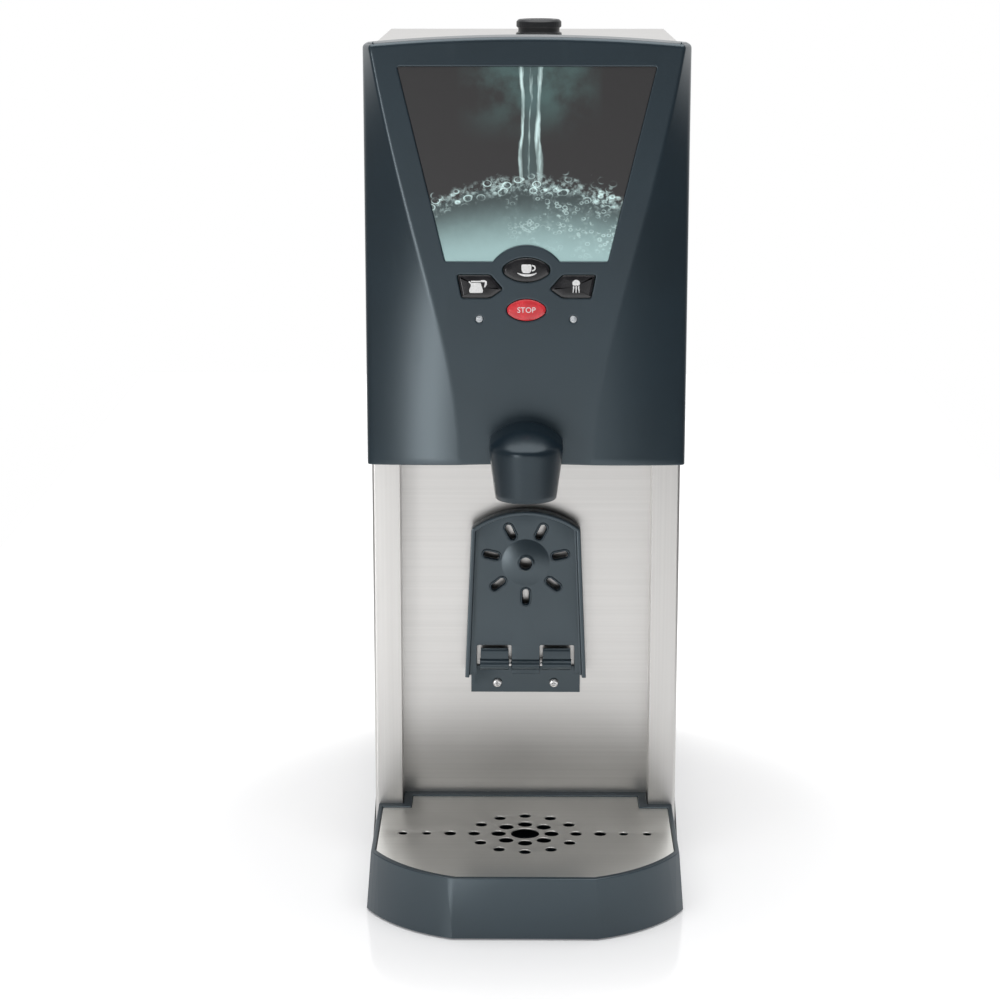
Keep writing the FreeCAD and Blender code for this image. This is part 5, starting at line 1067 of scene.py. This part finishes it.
softened("drip_tray", 0.7, "drip_tray", cover_plastic, steps=3)
PLATE_LOW, PLATE_HIGH = box_mm("drip_plate")
TONGUE_HIGH = box_mm("drip_plate_tongue")[1]
PLATE_FRONT_HALF, PLATE_CORNER_Y, FACET_RADIUS = 49.0, PLATE_LOW[1] + 52.5, 110.0
right_plate = [
    (PLATE_FRONT_HALF, PLATE_LOW[1]), FACET_RADIUS, (PLATE_HIGH[0], PLATE_CORNER_Y),
    (PLATE_HIGH[0], PLATE_HIGH[1]), (TONGUE_HIGH[0], PLATE_HIGH[1]), (TONGUE_HIGH[0], TONGUE_HIGH[1]),
]
plate_line = eased(outline(*right_plate, *mirrored(right_plate), pitch=3.0), 1.0)
STAR_Y = PLATE_LOW[1] + 88.5
# Orbit, radius and angles of the drain holes.
DRAINS = [(0, 10.5, [0]), (19.6, 5.4, range(0, 360, 45)), (37.8, 4.3, range(0, 360, 30))]
DRAINS += [(55.6, 4.4, (0, 180)), (73.0, 3.3, (0, 180)), (90.5, 3.3, (0, 180))]
drains = [
    disc_line(orbit * math.cos(math.radians(a)), STAR_Y + orbit * math.sin(math.radians(a)), radius)
    for orbit, radius, angles in DRAINS
    for a in angles
]
EDGE = 0.35


def level_points(points, height):
    return np.concatenate([points, np.full((len(points), 1), height)], axis=1)


plate = Skin()
for face_z, up in ((PLATE_HIGH[2], 1), (PLATE_LOW[2], -1)):
    points, faces = filled(grown(plate_line, -EDGE), *[grown(line, EDGE) for line in drains])
    plate.add(level_points(points, face_z), faces[:, ::up])
for line, sign in [(plate_line, -1)] + [(line, 1) for line in drains]:
    rings = [grown(line, sign * EDGE * (1 - np.sin(a))) for a in quarter]
    drops = EDGE * (1 - np.cos(quarter))
    over = [level_points(ring, PLATE_HIGH[2] - drop) for ring, drop in zip(rings, drops)]
    below = [level_points(ring, PLATE_LOW[2] + drop) for ring, drop in zip(rings, drops)]
    plate.grid(np.array(over + below[::-1]), round_columns=True)
plate_steel = brushed_steel("plate_steel", (0.93, 0.92, 0.88), "x", rough=0.28)
plate_nodes = ["drip_plate", "drip_plate_tongue"]
plate.piece("drip_plate_sheet", "drip_plate", SHEET_SLOT, plate_steel, plate_nodes, sharp=30)

# ======================================
# The filler cap. A turned-looking black knob with a grip groove round it, on the lid.
# ======================================

CAP_LOW, CAP_HIGH = box_mm("filler_cap")
cap_x, cap_y = (CAP_LOW[0] + CAP_HIGH[0]) / 2, (CAP_LOW[1] + CAP_HIGH[1]) / 2
CAP_RADIUS = (CAP_HIGH[0] - CAP_LOW[0]) / 2
top = CAP_HIGH[2]
# The plug that enters the filler neck, then the skirt, the grip groove and the dished top.
knob = [(0, CAP_LOW[2]), (11.5, CAP_LOW[2]), (12.5, CAP_LOW[2] + 1), (12.5, top - 13)]
knob += [(CAP_RADIUS - 0.6, top - 13), (CAP_RADIUS, top - 12.4), (CAP_RADIUS, top - 10.6)]
knob += [(CAP_RADIUS - 1.8, top - 9.8), (CAP_RADIUS - 1.8, top - 6.8), (CAP_RADIUS - 0.3, top - 5.9)]
knob += [(CAP_RADIUS - 0.3, top - 1.8), (CAP_RADIUS - 2.2, top - 0.1), (12.0, top)]
knob += [(10.8, top - 0.8), (0, top - 1.0)]


RIBS, RIB_DEPTH = 48, 0.28


def ribbed(angle, radius, height):
    """Shallow finger ribs round the knob's upper edge."""
    band = np.exp(-(((height - (top - 3.9)) / 1.6) ** 2)) * (radius > 14)
    return radius - RIB_DEPTH * band * (0.5 + 0.5 * np.cos(RIBS * angle))


cap = Skin()
profile = rounded_profile(knob, 0.7, 4)
cap.grid(turned(profile, (cap_x, cap_y, 0), "z", 192, ribbed), round_columns=True)
cap.piece("filler_cap_knob", "filler_cap", "black_plastic", black_plastic, ["filler_cap"], sharp=35)

# ======================================
# The back. A threaded brass inlet, a cable gland, and a switch with a rocker.
# ======================================

brass = Finish("brass", Metallic=1.0)
tarnish = brass.noise(9.0, 4.0)
brass.use(
    Base_Color=brass.blend(tarnish.step(0.3, 0.7), (0.62, 0.44, 0.2), (0.42, 0.28, 0.12)),
    Roughness=0.26 + 0.2 * tarnish,
    Normal=brass.bump(brass.noise(0.6, 3.0), 0.01, 0.4),
)
wear(brass.material, "inlet_valve", "outlet_valve", "board_posts")
VALVE_HIGH = box_mm("inlet_valve")[1]
INLET_X, INLET_Z, THREAD_RADIUS, THREAD_LONG, THREAD_PITCH = -60.0, 72.0, 13.2, 15.0, 1.8
THREAD_DEPTH, THREAD_FADE = 0.5, 1.2
along_thread = np.linspace(0, THREAD_LONG, int(THREAD_LONG / THREAD_PITCH * 10) + 1)


def threaded(angle, radius, height):
    """A triangular wave that climbs one pitch a turn and fades in over THREAD_FADE at both ends."""
    phase = ((height - VALVE_HIGH[1]) / THREAD_PITCH - angle / (2 * np.pi)) % 1.0
    to_end, from_start = VALVE_HIGH[1] - 0.6 - height, height - VALVE_HIGH[1] + THREAD_LONG
    fade = np.clip(to_end / THREAD_FADE, 0, 1) * np.clip(from_start / THREAD_FADE, 0, 1)
    return radius + THREAD_DEPTH * fade * (1 - np.abs(2 * phase - 1))


sleeve = [(THREAD_RADIUS + 0.03, VALVE_HIGH[1] - THREAD_LONG + step) for step in along_thread]
sleeve = [(THREAD_RADIUS - 0.6, sleeve[0][1])] + sleeve + [(THREAD_RADIUS - 0.6, sleeve[-1][1])]
thread = Skin()
thread.grid(turned(sleeve, (INLET_X, 0, INLET_Z), "y", 72, threaded), round_columns=True, round_rows=True)
thread.piece("inlet_thread", "housing", "valve_brass", brass.material)
for node in ("mains_gland", "mains_switch"):
    softened(node, 0.3, "housing", black_plastic)
softened("mains_rocker", 0.4, "mains_rocker", key_black, steps=3)

# ======================================
# Inside the cabinet: the boiler in its foam jacket, the valves, the boards and the lamp board.
# ======================================

tank_steel = brushed_steel("tank_steel", (0.6, 0.6, 0.59), "z", rough=0.34)
wear(tank_steel, "boiler_tank", "tank_lid", "filler_neck")
element = Finish("element_steel", Metallic=1.0)
tint = element.noise(24.0, 3.0)
element.use(
    Base_Color=element.blend(tint.step(0.35, 0.65), (0.32, 0.26, 0.2), (0.4, 0.36, 0.36)),
    Roughness=0.32 + 0.2 * tint,
    Normal=element.bump(element.noise(0.8, 3.0), 0.01, 0.5),
)
wear(element.material, "heating_element", "tank_probes")
foam = Finish("jacket_foam", Roughness=0.85)
cell = foam.add("ShaderNodeTexVoronoi", {}, {"Vector": foam.place, "Scale": 700.0})
foam.use(
    Base_Color=foam.blend(cell, (0.62, 0.61, 0.57), (0.74, 0.73, 0.7)),
    Roughness=0.8 + 0.1 * cell,
    Normal=foam.bump(cell, 0.2, 0.6),
)
wear(foam.material, "insulation_jacket")
board = Finish("board_green", Coat_Weight=0.4, Coat_Roughness=0.15)
brick = {"Color1": (0, 0, 0, 1), "Color2": (0, 0, 0, 1), "Mortar": (1, 1, 1, 1), "Mortar Size": 0.03}
brick |= {"Vector": board.place, "Scale": 260.0}
track = board.add("ShaderNodeTexBrick", {"offset": 0.3}, brick)
board.use(
    Base_Color=board.blend(track, (0.012, 0.1, 0.04), (0.03, 0.17, 0.07)),
    Roughness=0.35 + 0.1 * board.noise(4.0),
    Normal=board.bump(track, 0.03, 0.5),
)
wear(board.material, "control_board", "power_board")
wear(moulded("switch_black", (0.02, 0.02, 0.02), 0.45), "key_switches")
wear(moulded("phenolic", (0.035, 0.025, 0.02), 0.5), "overheat_cutout")
coil_plastic = moulded("coil_plastic", (0.02, 0.02, 0.028), 0.4)
wear(coil_plastic, "outlet_coil", "inlet_coil")
wear(bright_steel.material, "outlet_plunger", "inlet_plunger")
diffuser = moulded("lamp_diffuser", (0.72, 0.73, 0.71), 0.5)
wear(diffuser, "backlight_panel")

# ======================================
# The studio: a pale floor, one broad light overhead, one at the left, and a dim room in front.
# ======================================

floor_mesh = bpy.data.meshes.new("studio_floor")
floor_corners = [(-0.6, -3.2, 0.0), (0.6, -3.2, 0.0), (0.6, 2.0, 0.0), (-0.6, 2.0, 0.0)]
floor_mesh.from_pydata(floor_corners, [], [(0, 1, 2, 3)])
floor = bpy.data.objects.new("studio_floor", floor_mesh)
bpy.context.scene.collection.objects.link(floor)
floor_finish = Finish("studio_floor", Emission_Strength=1.0)
floor_tone = floor_finish.noise(300.0, 2.0)
# The floor glows faintly, and more away from the object, so that it is white to its edges.
aside, ahead = floor_finish.axis("X"), floor_finish.axis("Y") + 60.0
away_from_object = (aside * aside + ahead * ahead).step(210.0**2, 420.0**2)
floor_mesh.materials.append(
    floor_finish.use(
        Base_Color=floor_finish.blend(floor_tone, (0.86, 0.86, 0.86), (0.88, 0.88, 0.88)),
        Emission_Color=floor_finish.blend(away_from_object, (0.17, 0.17, 0.175), (0.5, 0.5, 0.5)),
        Roughness=0.1 + 0.06 * floor_tone,
    )
)


def softbox(name, place, aim, wide, high, watts):
    """A rectangular soft light at a place, turned towards an aim."""
    lamp = bpy.data.lights.new(name, "AREA")
    lamp.shape = "RECTANGLE"
    lamp.size, lamp.size_y = wide, high
    lamp.energy = watts
    box = bpy.data.objects.new(name, lamp)
    box.location = place
    box.rotation_euler = (Vector(aim) - Vector(place)).to_track_quat("-Z", "Y").to_euler()
    bpy.context.scene.collection.objects.link(box)


softbox("overhead_light", (0.0, -0.3, 2.6), (0.0, 0.0, 0.0), 3.2, 3.0, 75.0)
softbox("left_light", (-1.0, -1.95, 0.15), (-0.08, -0.15, 0.38), 0.5, 0.7, 7.0)

world = bpy.data.worlds.new("studio")
world.use_nodes = True
bpy.context.scene.world = world
sky = world.node_tree
sky.nodes.clear()
WHITE = (1.0, 1.0, 1.0, 1.0)


def sky_node(kind, inputs, operation=None):
    """The outputs of a new node of the world; each input is a value or another node's socket."""
    node = sky.nodes.new(kind)
    if operation:
        node.operation = operation
    for key, value in inputs.items():
        if isinstance(value, bpy.types.NodeSocket):
            sky.links.new(value, node.inputs[key])
        else:
            node.inputs[key].default_value = value
    return node.outputs


# Seen directly the world is white. As a light it is dim, and brightest behind the object.
direction = sky_node("ShaderNodeTexCoord", {})["Generated"]
split = sky_node("ShaderNodeSeparateXYZ", {0: direction})
dim = sky_node("ShaderNodeMath", {0: split["X"], 1: -0.06, 2: 0.2}, "MULTIPLY_ADD")[0]
strength = sky_node("ShaderNodeMath", {0: dim, 1: split["Y"]}, "MAXIMUM")[0]
room = sky_node("ShaderNodeBackground", {"Color": WHITE, "Strength": strength})[0]
page = sky_node("ShaderNodeBackground", {"Color": WHITE})[0]
seen = sky_node("ShaderNodeLightPath", {})["Is Camera Ray"]
view = sky_node("ShaderNodeMixShader", {0: seen, 1: room, 2: page})[0]
sky_node("ShaderNodeOutputWorld", {0: view})

camera_data = bpy.data.cameras.new("camera")
camera_data.lens = 91.96
camera_data.sensor_width = 36.0
camera_data.dof.use_dof = False
camera = bpy.data.objects.new("camera", camera_data)
camera.location = (0.00087, -1.9478, 0.7135)
camera.rotation_euler = (math.radians(90 - 13.064), 0.0, math.radians(0.624))
bpy.context.scene.collection.objects.link(camera)
bpy.context.scene.camera = camera
bpy.context.scene.view_settings.view_transform = "Standard"
